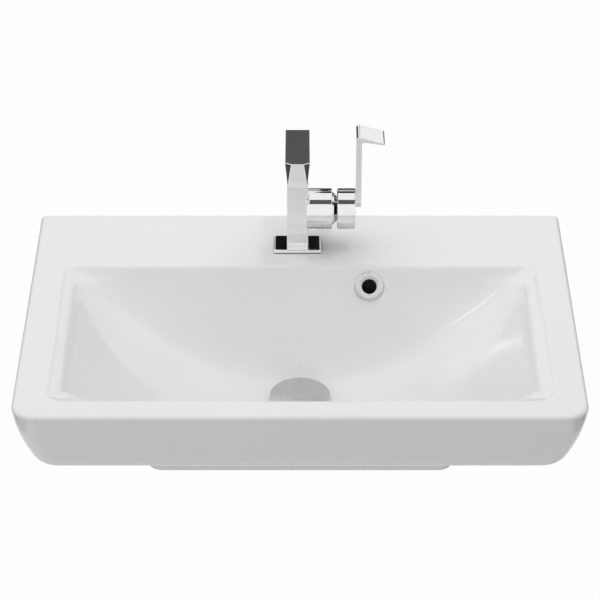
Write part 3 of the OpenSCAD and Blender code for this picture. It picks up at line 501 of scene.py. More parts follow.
def basin_shell():
    """The bowl, rim, apron and underside as one closed stack of rings seen
    from the waste: each ring's radius is where a ray meets its outline."""
    centre = (0.0, WASTE_Y)
    angles = np.concatenate([
        spread(BASIN_W / 2, 0.0, -BASIN_D, BACK_R, FRONT_R, step=14.0, turns=8),
        spread(BOWL_HX, BOWL_BACK, BOWL_FRONT, BOWL_CORNER_R, BOWL_CORNER_R, step=5.5, turns=14),
        np.linspace(-np.pi, np.pi, 73)[:-1]])
    angles = np.unique(np.round(angles, 3))
    angles = angles[np.diff(np.append(angles, angles[0] + 2 * np.pi)) > 0.0025]

    def at(r):
        return centre[0] + r * np.cos(angles), centre[1] + r * np.sin(angles)

    def bowl_reach(s):
        r = BOWL_CORNER_R + s / 2
        return reach(angles, lambda x, y: box_distance(x, y, BOWL_HX - s, BOWL_BACK - s,
                                                       BOWL_FRONT + s, r, r), centre)

    def body_reach(half_x, back, front, back_r, front_r):
        return reach(angles, lambda x, y: box_distance(x, y, half_x, back, front,
                                                       back_r, front_r), centre)

    low, nip = -FOOT_H, 0.3 * HOLE_EDGE
    rings = [(HOLE_R, low + HOLE_EDGE), (HOLE_R, -BOWL_DEPTH - HOLE_EDGE),
             (HOLE_R + nip, -BOWL_DEPTH - nip), (HOLE_R + HOLE_EDGE, -BOWL_DEPTH),
             (HOLE_R + 2 * HOLE_EDGE, -BOWL_DEPTH), (SEAT_R - 1, -BOWL_DEPTH)]
    deep = bowl_reach(FLOOR_INSET)
    for share in np.linspace(0, 1, 26):
        r = SEAT_R + (deep - SEAT_R) * share
        seat = np.clip((r - SEAT_R) / SEAT_BLEND, 0, 1)
        seat = seat * seat * (3 - 2 * seat)
        rings.append((r, -BOWL_DEPTH + (BOWL_DEPTH - bowl_fall(*at(r))) * seat))
    for s in WALL_INSETS:
        r = bowl_reach(s)
        rings.append((r, -bowl_fall(*at(r))))
    for s in LIP_OUTSETS:
        rings.append((bowl_reach(-s), -eased(-raw_fall(*at(bowl_reach(s))))))
    rings.append((bowl_reach(-RIM_FLAT), 0.0))

    rings.append((body_reach(BASIN_W / 2 - EDGE_R - 1.4, -3.0, -BASIN_D + EDGE_R + 1.4,
                             BACK_R, FRONT_R - EDGE_R), 0.0))
    for a in np.radians([0, 6, 15, 27, 40, 53, 66, 79, 90]):
        inset = EDGE_R * (1 - np.sin(a))
        rings.append((body_reach(BASIN_W / 2 - inset, -inset * 0.4, -BASIN_D + inset,
                                 BACK_R - inset * 0.5, FRONT_R - inset * 0.5),
                      -EDGE_R * (1 - np.cos(a))))
    for t in (0.03, 0.1, 0.2, 0.3, 0.4, 0.5, 0.6, 0.7, 0.8, 0.9, 0.97):
        z = -EDGE_R - (APRON_H - EDGE_R - APRON_EDGE_R) * t
        lean = (-z / APRON_H) ** TAPER_POWER
        rings.append((body_reach(BASIN_W / 2 - lean * SIDE_TAPER, 0.0,
                                 -BASIN_D + lean * FRONT_TAPER, BACK_R, FRONT_R), z))
    for a in np.radians([0, 12, 26, 40, 54, 68, 80, 90]):
        z = -APRON_H + APRON_EDGE_R * (1 - np.sin(a))
        lean, inset = (-z / APRON_H) ** TAPER_POWER, APRON_EDGE_R * (1 - np.cos(a))
        rings.append((body_reach(BASIN_W / 2 - lean * SIDE_TAPER - inset, -inset * 0.3,
                                 -BASIN_D + lean * FRONT_TAPER + inset,
                                 BACK_R, FRONT_R - inset * 0.5), z))

    inner_x, inner_front = BASIN_W / 2 - APRON_T, -BASIN_D + APRON_T
    inner_back = -WALL_PANEL_T - SEAM
    for t in np.linspace(0, 1, 6):
        z = -APRON_H + (APRON_H - CERAMIC_T - INNER_FILLET) * t
        ease = INNER_EDGE if t == 0 else 0.0
        rings.append((body_reach(inner_x - SIDE_TAPER * (1 - t) + ease, inner_back + ease,
                                 inner_front + FRONT_TAPER * (1 - t) - ease, BACK_R, INNER_R), z))
    for a in np.radians([30, 60, 90]):
        z = -CERAMIC_T - INNER_FILLET * (1 - np.sin(a))
        inset = INNER_FILLET * (1 - np.cos(a))
        rings.append((body_reach(inner_x - inset, inner_back - inset, inner_front + inset,
                                 BACK_R, INNER_R), z))
    under = reach(angles, lambda x, y: CERAMIC_T - bowl_fall(x, y, CERAMIC_T, UNDER_DROP), centre)
    under = np.minimum(under, rings[-1][0] - 1.0)
    rings.append((under + 0.4 * (rings[-1][0] - under), -CERAMIC_T))
    for share in np.linspace(0, 1, 30) ** 1.5:
        r = under + (BOSS_R + 2 - under) * share
        rings.append((r, -bowl_fall(*at(r), CERAMIC_T, UNDER_DROP)))
    rings += [(BOSS_R, -BOWL_DEPTH - CERAMIC_T - 2.0), (BOSS_R, low + HOLE_EDGE),
              (BOSS_R - nip, low + nip), (BOSS_R - HOLE_EDGE, low),
              (HOLE_R + HOLE_EDGE, low), (HOLE_R + nip, low + nip)]
    faces = quads(len(rings), len(angles), wrap_rows=True)[:, ::-1]
    return ring_grid(angles, rings, centre), faces


def tube_along(start, way, radius, sides=48):
    """Closed cylinder: circles radius * (cos a * u + sin a * v), with u and v
    square to the way, about its start and about its end."""
    start, way = np.array(start, float), np.array(way, float)
    w = way / np.linalg.norm(way)
    u = np.cross(w, (1.0, 0.0, 0.0) if abs(w[0]) < 0.9 else (0.0, 1.0, 0.0))
    u /= np.linalg.norm(u)
    v = np.cross(w, u)
    a = np.linspace(0, 2 * np.pi, sides, endpoint=False)[:, None]
    circle = radius * (np.cos(a) * u + np.sin(a) * v)
    return np.concatenate([start + circle, start + way + circle]), capped(2, sides)


SLOPE = math.atan(BACK_LEAN)
OUT_OF_WALL = np.array([0.0, -math.cos(SLOPE), math.sin(SLOPE)])


def overflow_bore():
    """Cutter for the overflow's hole through the bowl's back wall."""
    bore = tube_along(OVERFLOW - OUT_OF_WALL * 18, OUT_OF_WALL * 30, OVERFLOW_BORE_R)
    # The bore's dark clay passes to the hole's wall: painted shade in the hole.
    return make_piece("bore", [bore], clay)


basin = make_piece("basin", [basin_shell()], china)
tap_bore = tube_along((TAP_HOLE_X, TAP_HOLE_Y, -CERAMIC_T - 4), (0, 0, 20), TAP_HOLE_R)
tap_hole = make_piece("tap_hole", [tap_bore], china)
finish_mesh(basin, (overflow_bore(), tap_hole))
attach(basin, "root")
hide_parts("basin_body")


# The foot: a wall of the same china round the waste, cast with the basin and
# open below, where the trap goes. Its lower edge is rounded on both sides.
FOOT_HX, FOOT_BACK, FOOT_FRONT = 152.0, -118.0, -287.0
FOOT_R, FOOT_INNER_R, FOOT_EDGE = 14.0, 8.0, 2.0


def rectangle_outline(x0, x1, y0, y1, r, turns=6):
    """Corner arcs of radius r joined by straight sides, anticlockwise."""
    corners = []
    for cx, cy, start in ((x1 - r, y1 - r, 0), (x0 + r, y1 - r, 90),
                          (x0 + r, y0 + r, 180), (x1 - r, y0 + r, 270)):
        a = np.radians(np.linspace(0, 90, turns)) + np.radians(start)
        corners.append(np.stack([cx + r * np.cos(a), cy + r * np.sin(a)], 1))
    return np.concatenate(corners)


def filled_in(outline, steps=16):
    """Outline with its four straight sides cut into equal steps."""
    sides = outline.reshape(4, -1, 2)
    share = np.linspace(0, 1, steps + 1)[1:-1, None]
    rows = []
    for i in range(4):
        start, end = sides[i][-1], sides[(i + 1) % 4][0]
        rows += [sides[i], start + (end - start) * share]
    return np.concatenate(rows)


def flat_faces(obj):
    """Weights normals by area, so that flats beside a rounding stay flat."""
    even = obj.modifiers.new("even", "WEIGHTED_NORMAL")
    even.keep_sharp = True
    even.weight = 100
    return obj


def foot_ring():
    """Wall of the foot round the waste: an outer and an inner rounded
    rectangle, joined by a rounded lower edge. Its top ends inside the bowl's
    own wall, half way between the two faces."""
    t = CERAMIC_T
    outer = filled_in(rectangle_outline(-FOOT_HX, FOOT_HX, FOOT_FRONT, FOOT_BACK, FOOT_R, 8))
    inner = filled_in(rectangle_outline(t - FOOT_HX, FOOT_HX - t, FOOT_FRONT + t, FOOT_BACK - t,
                                        FOOT_INNER_R, 8))
    middle, half = (outer + inner) / 2, (outer - inner) / 2
    turns = np.radians([0, 22, 45, 68, 90])

    def up_to_bowl(outline):
        fall = bowl_fall(outline[:, 0], outline[:, 1])
        return np.column_stack([outline, -fall - t / 2])

    def lower(side, turn):
        share = 1 - FOOT_EDGE / (t / 2) * (1 - np.cos(turn))
        height = np.full(len(outer), -FOOT_H + FOOT_EDGE * (1 - np.sin(turn)))
        return np.column_stack([middle + side * half * share, height])

    rows = [up_to_bowl(outer)] + [lower(1, turn) for turn in turns]
    rows += [lower(-1, turn) for turn in turns[::-1]] + [up_to_bowl(inner)]
    return np.concatenate(rows), quads(len(rows), len(outer), wrap_rows=True)[:, ::-1]


basin_foot = flat_faces(make_piece("basin_foot", [foot_ring()], china))
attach(basin_foot, "root")
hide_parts("basin_body")


# The wall panel and its two ribs: flat china cast with the basin. The panel
# lies against the wall and takes the two bolts through its sleeves, and the
# ribs carry the bowl on it.
PANEL_HX, PANEL_TOP, PANEL_R, CAST_EDGE = 200.0, -58.0, 3.0, 1.5
BOLT_X, BOLT_Z, SLEEVE_R = 140.0, -80.0, 8.85
RIB_X = 194.0


def rounded_extrusion(outline, z_low, z_high, edge, steps=4):
    """Closed solid of an outline (x, y) between two heights whose upper and
    lower edges are rounded: rings inset along the outline's own bisectors."""
    p = np.asarray(outline, float)
    ahead, behind = np.roll(p, -1, 0) - p, p - np.roll(p, 1, 0)
    ahead /= np.linalg.norm(ahead, axis=1)[:, None]
    behind /= np.linalg.norm(behind, axis=1)[:, None]
    normal = np.stack([-(ahead + behind)[:, 1], (ahead + behind)[:, 0]], 1)
    normal /= np.linalg.norm(normal, axis=1)[:, None]
    cosine = np.maximum(np.abs(normal[:, 0] * ahead[:, 1] - normal[:, 1] * ahead[:, 0]), 0.3)
    inward = normal / cosine[:, None]
    a = np.radians(np.linspace(0, 90, steps + 1))
    levels = [(edge * (1 - np.sin(t)), z_low + edge * (1 - np.cos(t))) for t in a]
    levels += [(edge * (1 - np.cos(t)), z_high - edge * (1 - np.sin(t))) for t in a]
    rows = [np.column_stack([p + inward * inset, np.full(len(p), z)]) for inset, z in levels]
    return np.concatenate(rows), capped(len(rows), len(p))


def turn_to_wall(points):
    """Points modelled flat, turned so that their height runs out from the
    wall: (x, height, depth) becomes (x, -depth, height)."""
    p = np.asarray(points, float)
    return np.column_stack([p[:, 0], -p[:, 2], p[:, 1]])


def wall_panel():
    """Panel against the wall below the apron, with rounded edges."""
    outline = rectangle_outline(-PANEL_HX, PANEL_HX, -FOOT_H, PANEL_TOP, PANEL_R)
    points, faces = rounded_extrusion(outline, 0.0, WALL_PANEL_T, CAST_EDGE)
    return turn_to_wall(points), faces


def gusset(x):
    """Rib from the wall panel to the bowl's underside, as thick as the rest:
    an outline of (y, z), run along x and turned upright."""
    outline = [(-98, -11), (-110, -27), (-110, -60), (-13, 6 - FOOT_H), (-13, -11)]
    points, faces = rounded_extrusion(outline, x - CERAMIC_T / 2, x + CERAMIC_T / 2, CAST_EDGE)
    return np.column_stack([points[:, 2], points[:, 0], points[:, 1]]), faces


basin_back = make_piece("basin_back", [wall_panel()], china)
sleeve_bores = [tube_along((x, 4, BOLT_Z), (0, -WALL_PANEL_T - 8, 0), SLEEVE_R)
                for x in (-BOLT_X, BOLT_X)]
finish_mesh(basin_back, [make_piece("sleeve_hole", [bore], china) for bore in sleeve_bores])
basin_ribs = make_piece("basin_ribs", [gusset(-RIB_X), gusset(RIB_X)], china)
for piece in (basin_back, basin_ribs):
    flat_faces(piece)
    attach(piece, "root")
    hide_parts("basin_body")


# The overflow's channel: two hollow legs of china, joined to the outside of
# the bowl before firing. They lead the water from behind the ring down to the
# waste, and are bare clay inside, coloured nearly black there as painted shade.
DUCT_HX, DUCT_T = 15.0, 7.0
BEND_X, BEND_BACK, BEND_FRONT = 20.0, -128.0, -150.0
OUTLET_X, OUTLET_BACK, OUTLET_FRONT = 8.0, -178.0, -200.0


def hull_of(points):
    """Convex hull of a few points, as (points, faces)."""
    bm = bmesh.new()
    for p in points:
        bm.verts.new(p)
    found = bmesh.ops.convex_hull(bm, input=bm.verts)
    loose = [g for g in found["geom_interior"] if isinstance(g, bmesh.types.BMVert)]
    bmesh.ops.delete(bm, geom=loose, context="VERTS")
    bmesh.ops.dissolve_limit(bm, angle_limit=0.01, verts=bm.verts, edges=bm.edges)
    bm.verts.index_update()
    kept = [tuple(v.co) for v in bm.verts]
    faces = [[v.index for v in f.verts] for f in bm.faces]
    bm.free()
    return np.array(kept), faces


def box_corners(x0, x1, y0, y1, z0, z1):
    """The eight corners of an upright box."""
    return [(x, y, z) for x in (x0, x1) for y in (y0, y1) for z in (z0, z1)]


def overflow_duct(wall):
    """The channel's two hulls, from behind the overflow to the waste; wall
    is the clay round the passage, or 0 for the passage itself. No faces
    coincide: both end a hair above the foot, and the second is slimmer."""
    w, slim = DUCT_HX + wall, SEAM if wall else 0.0
    low, high = -FOOT_H + (SEAM if wall else 6.0), -FOOT_H + (20.0 if wall else 14.0)
    top_y = OVERFLOW[1] + CERAMIC_T + DUCT_T
    upper = box_corners(OVERFLOW_X - w, OVERFLOW_X + w, top_y - 6 - wall, top_y + 6 + wall,
                        OVERFLOW_Z - 18, OVERFLOW_Z + 12)
    bend = box_corners(BEND_X - w, BEND_X + w, BEND_FRONT - wall, BEND_BACK + wall, low, high)
    meet = box_corners(BEND_X - w + slim, BEND_X + w - slim, BEND_FRONT - wall + slim,
                       BEND_BACK + wall - slim, low + slim, high - slim)
    lower = box_corners(OUTLET_X - w, OUTLET_X + w, OUTLET_FRONT, OUTLET_BACK,
                        low + slim, high - slim)
    return hull_of(upper + bend), hull_of(meet + lower)


def bowl_void():
    """The space in the bowl and half of its wall as a closed solid, to cut
    the channel with, so that the channel ends inside the wall."""
    grow, drop, core, above = CERAMIC_T / 2, UNDER_DROP / 2, 5.0, 3.0
    angles = np.unique(np.round(spread(BOWL_HX, BOWL_BACK, BOWL_FRONT, BOWL_CORNER_R,
                                       BOWL_CORNER_R, step=12.0, turns=6), 3))
    centre = (0.0, WASTE_Y)
    rim = reach(angles, lambda x, y: -bowl_inset(x, y, grow)[0] - 1.0, centre)
    rings = []
    for share in np.linspace(0, 1, 40):
        r = core + (rim - core) * share
        x, y = centre[0] + r * np.cos(angles), centre[1] + r * np.sin(angles)
        rings.append((r, -bowl_fall(x, y, grow, drop)))
    rings.append((rim, above))
    return ring_grid(angles, rings, centre), capped(len(rings), len(angles))


for name, leg in zip(("overflow_channel", "overflow_outlet"), overflow_duct(DUCT_T)):
    piece = make_piece(name, [leg], china)
    # The passage's dark clay passes to the channel's inside: painted shade there.
    passage = [make_piece("passage", [part], clay) for part in overflow_duct(0.0)]
    void = make_piece("void", [bowl_void()], china)
    finish_mesh(piece, (*passage, void, overflow_bore()))
    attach(piece, "root")
    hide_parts("basin_body")


# The overflow's ring: turned brass, polished and plated, and pushed into its
# hole in the bowl's back wall. The tap and the plug share its finish, which
# carries fine wipe marks and the odd dried drop.
def effect_group(name, inputs, outputs):
    """Empty node group with float or colour sockets, for a shared effect."""
    group = bpy.data.node_groups.new(name, "ShaderNodeTree")
    for label, kind, value in inputs:
        socket = group.interface.new_socket(label, in_out="INPUT", socket_type=kind)
        socket.default_value = value
    for label, kind in outputs:
        group.interface.new_socket(label, in_out="OUTPUT", socket_type=kind)
    return group, group.nodes.new("NodeGroupInput"), group.nodes.new("NodeGroupOutput")


def dried_drops():
    """Shared effect: patches of faint round marks of dried water, put out as
    a mask from 0, clean, to 1."""
    group, source, sink = effect_group("dried_drops", [("Size mm", "NodeSocketFloat", 3.0)],
                                       [("Mask", "NodeSocketFloat")])
    place = group.nodes.new("ShaderNodeTexCoord")
    scale = group.nodes.new("ShaderNodeMath")
    scale.operation = "DIVIDE"
    scale.inputs[0].default_value = 1000.0
    group.links.new(source.outputs["Size mm"], scale.inputs[1])
    drops = group.nodes.new("ShaderNodeTexVoronoi")
    group.links.new(place.outputs["Object"], drops.inputs["Vector"])
    group.links.new(scale.outputs[0], drops.inputs["Scale"])
    rim = map_range(group, drops.outputs["Distance"], 0.10, 0.22, 1.0, 0.0)
    few = map_range(group, object_noise(group, 30.0, detail=2.0), 0.52, 0.62, 0.0, 1.0)
    both = group.nodes.new("ShaderNodeMath")
    both.operation = "MULTIPLY"
    group.links.new(rim, both.inputs[0])
    group.links.new(few, both.inputs[1])
    group.links.new(both.outputs[0], sink.inputs["Mask"])
    return group


DROPS = dried_drops()
DROP_ROUGH, WIPE_ROUGH = 0.10, 0.035


def plated(name, colour, dull, polish, drop_mm=3.0):
    """Plated metal: a colour and a duller one, roughness from polish up, with
    dried drops and a wipe pattern."""
    material, tree, shader = new_material(name)
    shader.inputs["Metallic"].default_value = 1.0
    film = tree.nodes.new("ShaderNodeGroup")
    film.node_tree = DROPS
    film.inputs["Size mm"].default_value = drop_mm
    cloud = map_range(tree, object_noise(tree, 18.0, detail=4.0, rough=0.6), 0.35, 0.75, 0.0, 1.0)
    tree.links.new(mix_colour(tree, cloud, colour, dull), shader.inputs["Base Color"])
    base = map_range(tree, object_noise(tree, 6.0, detail=5.0, rough=0.6), 0.3, 0.7, polish,
                     polish + WIPE_ROUGH)
    rough = tree.nodes.new("ShaderNodeMath")
    rough.operation = "MULTIPLY_ADD"
    rough.inputs[1].default_value = DROP_ROUGH
    tree.links.new(film.outputs["Mask"], rough.inputs[0])
    tree.links.new(base, rough.inputs[2])
    tree.links.new(rough.outputs[0], shader.inputs["Roughness"])
    add_bump(tree, shader, object_noise(tree, 9.0, detail=2.0), 0.006, 0.5)
    return material


chrome = plated("polished_chrome", (0.85, 0.85, 0.855), (0.81, 0.81, 0.815), 0.03)
# A copy of the chrome with a rougher polish and a darker colour; the darker colour is painted
# shade on the ring and the plug.
satin_chrome_painted_shade = plated("satin_chrome_painted_shade", (0.66, 0.66, 0.665), (0.61, 0.61, 0.615), 0.20)


def lathe(profile, axis_point, axis_way, sides=96):
    """Profile of (radius, height) pairs turned about an axis: axis point +
    height * way + radius * (cos a * u + sin a * v). A radius of nought closes
    the end in a single fan, and a profile without one closes on itself."""
    p = np.asarray(profile, float)
    w = np.array(axis_way, float)
    u = np.cross(w, (1.0, 0.0, 0.0) if abs(w[0]) < 0.9 else (0.0, 1.0, 0.0))
    u /= np.linalg.norm(u)
    v = np.cross(w, u)
    a = np.linspace(0, 2 * np.pi, sides, endpoint=False)
    turned = np.cos(a)[:, None] * u + np.sin(a)[:, None] * v
    rows, faces, starts, count = [], [], [], 0
    for r, h in p:
        starts.append((count, r))
        if r < 1e-9:
            rows.append(np.array(axis_point, float)[None] + h * w)
            count += 1
        else:
            rows.append(np.array(axis_point, float) + h * w + r * turned)
            count += sides
    j = np.arange(sides)
    k = (j + 1) % sides
    for (s0, r0), (s1, r1) in zip(starts[:-1], starts[1:]):
        if r0 < 1e-9:
            faces += np.stack([np.full(sides, s0), s1 + k, s1 + j], 1).tolist()
        elif r1 < 1e-9:
            faces += np.stack([s0 + j, s0 + k, np.full(sides, s1)], 1).tolist()
        else:
            faces += np.stack([s0 + j, s0 + k, s1 + k, s1 + j], 1).tolist()
    if starts[0][1] > 1e-9:
        s0, s1 = starts[-1][0], starts[0][0]
        faces += np.stack([s0 + j, s0 + k, s1 + k, s1 + j], 1).tolist()
    return np.concatenate(rows), faces


def soften(profile, radius, steps=4, closed=False):
    """Profile with each corner replaced by the curve (1 - t)^2 * start +
    2t(1 - t) * corner + t^2 * end, whose ends lie the radius away from the
    corner, or a third of the shorter side beside it."""
    p = np.asarray(profile, float)
    n = len(p)
    out = []
    for i in range(n):
        if not closed and i in (0, n - 1):
            out.append(p[i])
            continue
        a, b, c = p[i - 1], p[i], p[(i + 1) % n]
        la, lc = np.linalg.norm(a - b), np.linalg.norm(c - b)
        r = min(radius, la / 3, lc / 3)
        start, end = b + (a - b) / la * r, b + (c - b) / lc * r
        t = np.linspace(0, 1, steps + 1)[:, None]
        out.extend((1 - t) ** 2 * start + 2 * t * (1 - t) * b + t ** 2 * end)
    return np.array(out)


ring_profile = soften([(7.4, -12), (10.9, -12), (10.9, 0.05), (15.5, 0.05), (15.5, 1.0),
                       (14.0, 2.4), (11.5, 2.9), (8.9, 2.2), (7.4, 1.0)], 0.6, closed=True)
# The ring takes the darker chrome: painted shade.
overflow_rim = make_piece("overflow_rim", [lathe(ring_profile, OVERFLOW, OUT_OF_WALL, 72)],
                          satin_chrome_painted_shade)
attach(overflow_rim, "root")
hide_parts("overflow_ring")


# The tap's base plate and body: a rectangular foot, a square column, a spout
# of one cast wedge that rises to its end, and the barrel for the cartridge,
# brazed together before they are polished and plated.
TAP = np.array([TAP_HOLE_X, -58.7, 0.0])
PLATE_HX, PLATE_BACK, PLATE_FRONT, PLATE_R = 25.0, 11.5, -19.5, 2.0
PLATE_LOW, PLATE_TOP, PLATE_EDGE, PLATE_FLAT, SOCKET_HX = 1.0, 4.0, 1.5, 2.5, 9.5
COLUMN_HX, COLUMN_R, COLUMN_TOP, COLUMN_EDGE = 11.0, 1.2, 121.0, 0.3
BARREL_Z, BARREL_R, BARREL_START, BARREL_END = 43.5, 21.5, 9.0, 35.6
SPOUT_RISE, SPOUT_HX, SPOUT_BACK_Z, SPOUT_FACE_H = math.radians(10.0), 12.5, 130.5, 27.0
SPOUT_TIP_Y, SPOUT_CUT, TIP_TOP_HX, TIP_LOW_HX = -91.3, 5.0, 6.2, 9.75
SPOUT_TIP_Z = SPOUT_BACK_Z + (COLUMN_HX - SPOUT_TIP_Y) * math.tan(SPOUT_RISE)
AERATOR_IN, AERATOR_R, TAP_EDGE = 12.0, 8.05, 0.6


def base_plate():
    """Rectangle of 50 by 31 mm whose upper edge is a quarter circle, with a
    square opening for the column's foot: rings about the column's axis."""
    outlines = (rectangle_outline(-PLATE_HX, PLATE_HX, PLATE_FRONT, PLATE_BACK, PLATE_R, 7),
                rectangle_outline(-SOCKET_HX, SOCKET_HX, -SOCKET_HX, SOCKET_HX, PLATE_R, 5))
    angles = np.concatenate([np.arctan2(p[:, 1], p[:, 0]) for p in outlines])
    angles = np.unique(np.round(angles, 4))

    def out_to(half_x, back, front):
        return reach(angles, lambda x, y: box_distance(x, y, half_x, back, front,
                                                       PLATE_R, PLATE_R), (0.0, 0.0), 60.0)

    socket = out_to(SOCKET_HX, SOCKET_HX, -SOCKET_HX)
    rings = [(socket, PLATE_TOP), (socket, PLATE_LOW),
             (out_to(PLATE_HX, PLATE_BACK, PLATE_FRONT), PLATE_LOW)]
    for a in np.radians([0, 6, 20, 35, 50, 65, 80, 90]):
        inset = PLATE_EDGE * (1 - np.cos(a))
        rings.append((out_to(PLATE_HX - inset, PLATE_BACK - inset, PLATE_FRONT + inset),
                      PLATE_TOP - PLATE_EDGE * (1 - np.sin(a))))
    rings.append((out_to(PLATE_HX - PLATE_FLAT, PLATE_BACK - PLATE_FLAT, PLATE_FRONT + PLATE_FLAT),
                  PLATE_TOP))
    return ring_grid(angles, rings, TAP), quads(len(rings), len(angles), wrap_rows=True)


def spout_wedge():
    """Hull of the spout's ten corners: full width from the back almost to its
    end, where the face is narrower, most of all at its top."""
    rise, low = math.tan(SPOUT_RISE), SPOUT_TIP_Z - SPOUT_FACE_H
    half = [(SPOUT_HX, COLUMN_HX, low - (COLUMN_HX - SPOUT_TIP_Y) * rise),
            (SPOUT_HX, COLUMN_HX, SPOUT_BACK_Z),
            (SPOUT_HX, SPOUT_TIP_Y + SPOUT_CUT, SPOUT_TIP_Z - SPOUT_CUT * rise),
            (TIP_TOP_HX, SPOUT_TIP_Y, SPOUT_TIP_Z), (TIP_LOW_HX, SPOUT_TIP_Y, low)]
    points, faces = hull_of([(side * x, y, z) for side in (1, -1) for x, y, z in half])
    return points + TAP, faces


def aerator_cutter():
    """Bore for the aerator, square to the spout's underside."""
    y = SPOUT_TIP_Y + AERATOR_IN
    z = SPOUT_TIP_Z - SPOUT_FACE_H - AERATOR_IN * math.tan(SPOUT_RISE)
    down = np.array([0.0, -math.sin(SPOUT_RISE), -math.cos(SPOUT_RISE)])
    start = TAP + (0.0, y, z) - down * 11.0
    return make_piece("aerator_bore", [tube_along(start, down * 20.0, AERATOR_R, 64)], chrome)


def column_form():
    """Square column from the plate up into the spout."""
    outline = rectangle_outline(-COLUMN_HX, COLUMN_HX, -COLUMN_HX, COLUMN_HX, COLUMN_R)
    points, faces = rounded_extrusion(outline, PLATE_TOP, COLUMN_TOP, COLUMN_EDGE)
    return points + TAP, faces


barrel_profile = soften([(0, BARREL_START), (BARREL_R, BARREL_START), (BARREL_R, BARREL_END),
                         (0, BARREL_END)], TAP_EDGE)
barrel_form = lathe(barrel_profile, TAP + (0, 0, BARREL_Z), (1, 0, 0), 128)
tap_plate = make_piece("tap_plate", [base_plate()], chrome)
tap_column = make_piece("tap_column", [column_form()], chrome)
tap_spout = finish_mesh(make_piece("tap_spout", [spout_wedge()], chrome), (aerator_cutter(),),
                        bevel=TAP_EDGE)
tap_barrel = make_piece("tap_barrel", [barrel_form], chrome)
for piece, node in ((tap_plate, "tap_base_plate"), (tap_column, "tap_body"),
                    (tap_spout, "tap_body"), (tap_barrel, "tap_body")):
    flat_faces(piece)
    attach(piece, "root")
    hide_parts(node)


# The lever: a bar of brass bent outwards at its top, tapered to its tip and
# rounded where two screws hold it to the hub's end.
LEVER_X, LEVER_T, LEVER_W, LEVER_TOP = 59.6, 6.0, 27.0, 135.0
LEVER_FOOT_Z = BARREL_Z + 3.5
BEND_START_Z, BEND_IN_R, BEND_OUT_R = 122.0, 4.0, 2.0
TAB_FALL, TAB_TAPER, TAB_END, TAB_TIP_T, TAB_NOSE = 16.0, 7.0, 29.0, 2.5, 1.1


def lever_strip():
    """Rounded rectangle carried along the lever. At each station the section
    spans from a point of the hub's face to one of the outer face; its width
    is a half circle's chord at the foot and the full width above it."""
    low = (1 - np.cos(np.linspace(0.14, np.pi / 2, 14))) * (LEVER_W / 2)
    upright = np.concatenate([LEVER_FOOT_Z + low, np.linspace(LEVER_FOOT_Z + 22, BEND_START_Z, 8)])
    inner, outer = [(0.0, z) for z in upright], [(LEVER_T, z) for z in upright]
    fall, under = math.radians(TAB_FALL), math.radians(TAB_FALL - TAB_TAPER)
    big, small = BEND_IN_R, BEND_OUT_R
    bend_x, bend_z = big * (1 + math.sin(fall)), LEVER_TOP - big * (1 - math.cos(fall))
    tip_low = bend_z - (TAB_END - bend_x) * math.tan(fall) - TAB_TIP_T
    turn_x = LEVER_T + small
    turn_z = tip_low - small * math.cos(under) + (
        TAB_END - turn_x - small * math.sin(under)) * math.tan(under)
    for share in np.linspace(0, 1, 9):
        a, b = math.pi - share * (math.pi / 2 + fall), math.pi - share * (math.pi / 2 + under)
        inner.append((big + big * math.cos(a), LEVER_TOP - big + big * math.sin(a)))
        outer.append((turn_x + small * math.cos(b), turn_z + small * math.sin(b)))
    for x in (12.0, 16.0, 22.0, 27.5, 28.2, 28.7, TAB_END):
        cut = TAP_EDGE * max(0.0, (x - TAB_END + TAB_NOSE) / TAB_NOSE) ** 2
        inner.append((x, bend_z - (x - bend_x) * math.tan(fall) - cut))
        outer.append((x, tip_low + (TAB_END - x) * math.tan(under) + cut))
    inner, outer = np.array(inner), np.array(outer)
    drop = LEVER_W / 2 - np.clip(inner[:, 1] - LEVER_FOOT_Z, 0, LEVER_W / 2)
    half = np.sqrt(np.maximum((LEVER_W / 2) ** 2 - drop ** 2, 1.0))
    half[-3:] -= (0.08, 0.28, TAP_EDGE)
    edge = TAP_EDGE
    a = np.radians(np.linspace(0, 90, 5))
    corner = np.concatenate([np.stack([edge * (np.cos(a + t) - sx),
                                       edge * (np.sin(a + t) - sy)], 1)
                             for t, sx, sy in ((0, 1, 1), (np.pi / 2, -1, 1), (np.pi, -1, -1),
                                               (1.5 * np.pi, 1, -1))])
    ends_u, ends_v = np.repeat([1.0, 0.0, 0.0, 1.0], 5), np.repeat([1.0, 1.0, -1.0, -1.0], 5)
    across = outer - inner
    thick = np.linalg.norm(across, axis=1)
    way = across / thick[:, None]
    room = np.minimum(1.0, np.minimum(thick, 2 * half) / (2.6 * edge))[:, None]
    u = ends_u * thick[:, None] + corner[:, 0] * room
    v = ends_v * half[:, None] + corner[:, 1] * room
    grid = np.stack([LEVER_X + inner[:, :1] + way[:, :1] * u, v, inner[:, 1:] + way[:, 1:] * u], 2)
    return grid + TAP, capped(*grid.shape[:2])


lever = flat_faces(make_piece("lever", [lever_strip()], chrome))
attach(lever, "handle")
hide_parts("lever_plate")


# The plug: a turned brass disc with a low crown that covers the waste, on a
# rubber seal; it rides up and down with its stem.
PLUG_Z, CROWN_R, CROWN_TOP, CROWN_FALL, CROWN_POWER = -95.5, 30.1, 4.3, 1.6, 2.4
crown = [(0.0, 0.0), (30.4, 0.0), (31.0, 0.5), (31.0, 1.7), (30.7, 2.3), (CROWN_R, 2.7)]
crown += [(r, CROWN_TOP - CROWN_FALL * (r / CROWN_R) ** CROWN_POWER)
          for r in np.linspace(29.0, 0.0, 16)]
# The plug takes the darker chrome: painted shade.
plug = make_piece("plug", [lathe(crown, (0.0, WASTE_Y, PLUG_Z), (0, 0, 1), 128)], satin_chrome_painted_shade)
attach(plug, "plug")
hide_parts("plug_cap")


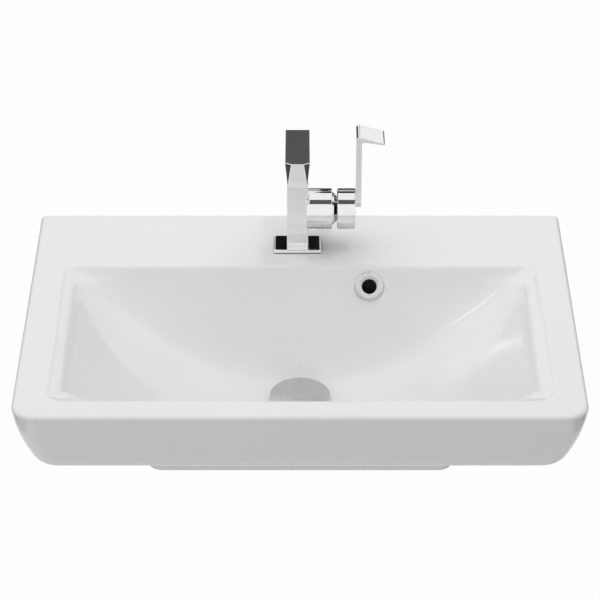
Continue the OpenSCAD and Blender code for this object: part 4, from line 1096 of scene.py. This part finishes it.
# The pieces that stay as they were built take the finishes of their kind:
# plated brass outside, and inside zinc-plated steel, bare brass, moulded
# plastic, lapped alumina and black rubber.
def moulded(name, low, high, rough, grain_mm, depth_mm):
    """Plastic or rubber: two close colours, an even sheen and a fine grain."""
    material, tree, shader = new_material(name)
    grain = object_noise(tree, grain_mm, detail=3.0)
    tint = mix_colour(tree, object_noise(tree, 12.0, detail=2.0), low, high)
    sheen = map_range(tree, grain, 0.3, 0.7, rough - 0.05, rough + 0.05)
    tree.links.new(tint, shader.inputs["Base Color"])
    tree.links.new(sheen, shader.inputs["Roughness"])
    add_bump(tree, shader, grain, depth_mm)
    return material


finishes = {
    "chrome": chrome,
    "steel": plated("zinc_plated_steel", (0.50, 0.51, 0.53), (0.40, 0.41, 0.42), 0.24, 2.0),
    "brass": plated("bare_brass", (0.62, 0.46, 0.20), (0.50, 0.36, 0.15), 0.20, 2.0),
    "rubber": moulded("black_rubber",
                      (0.022, 0.022, 0.023), (0.035, 0.035, 0.036), 0.72, 0.6, 0.03),
    "white_plastic": moulded("white_acetal",
                             (0.74, 0.74, 0.72), (0.80, 0.80, 0.78), 0.42, 0.8, 0.02),
    "grey_plastic": moulded("grey_nylon",
                            (0.11, 0.115, 0.125), (0.15, 0.155, 0.165), 0.48, 0.8, 0.02),
    "disc_ceramic": moulded("lapped_alumina",
                            (0.72, 0.72, 0.69), (0.78, 0.78, 0.76), 0.30, 0.4, 0.004),
}
kept = {
    "chrome": ("aerator_housing", "cover_ring", "handle_hub", "waste_body"),
    "steel": ("fixing_stud", "horseshoe_plate", "tilting_stem", "grub_screw", "lever_screws",
              "plug_spring"),
    "brass": ("fixing_nut", "retaining_nut", "back_nut", "plug_stem"),
    "rubber": ("tap_gasket", "aerator_washer", "horseshoe_rubber", "port_seals", "flange_gasket",
               "cone_gasket", "plug_seal"),
    "white_plastic": ("wall_sleeves", "aerator_insert", "cartridge_housing", "slip_washer",
                      "plug_guide"),
    "grey_plastic": ("turning_carrier", "grub_cover"),
    "disc_ceramic": ("fixed_disc", "moving_disc"),
}
for finish, nodes in kept.items():
    for node in nodes:
        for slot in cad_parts[node].material_slots:
            slot.material = finishes[finish]
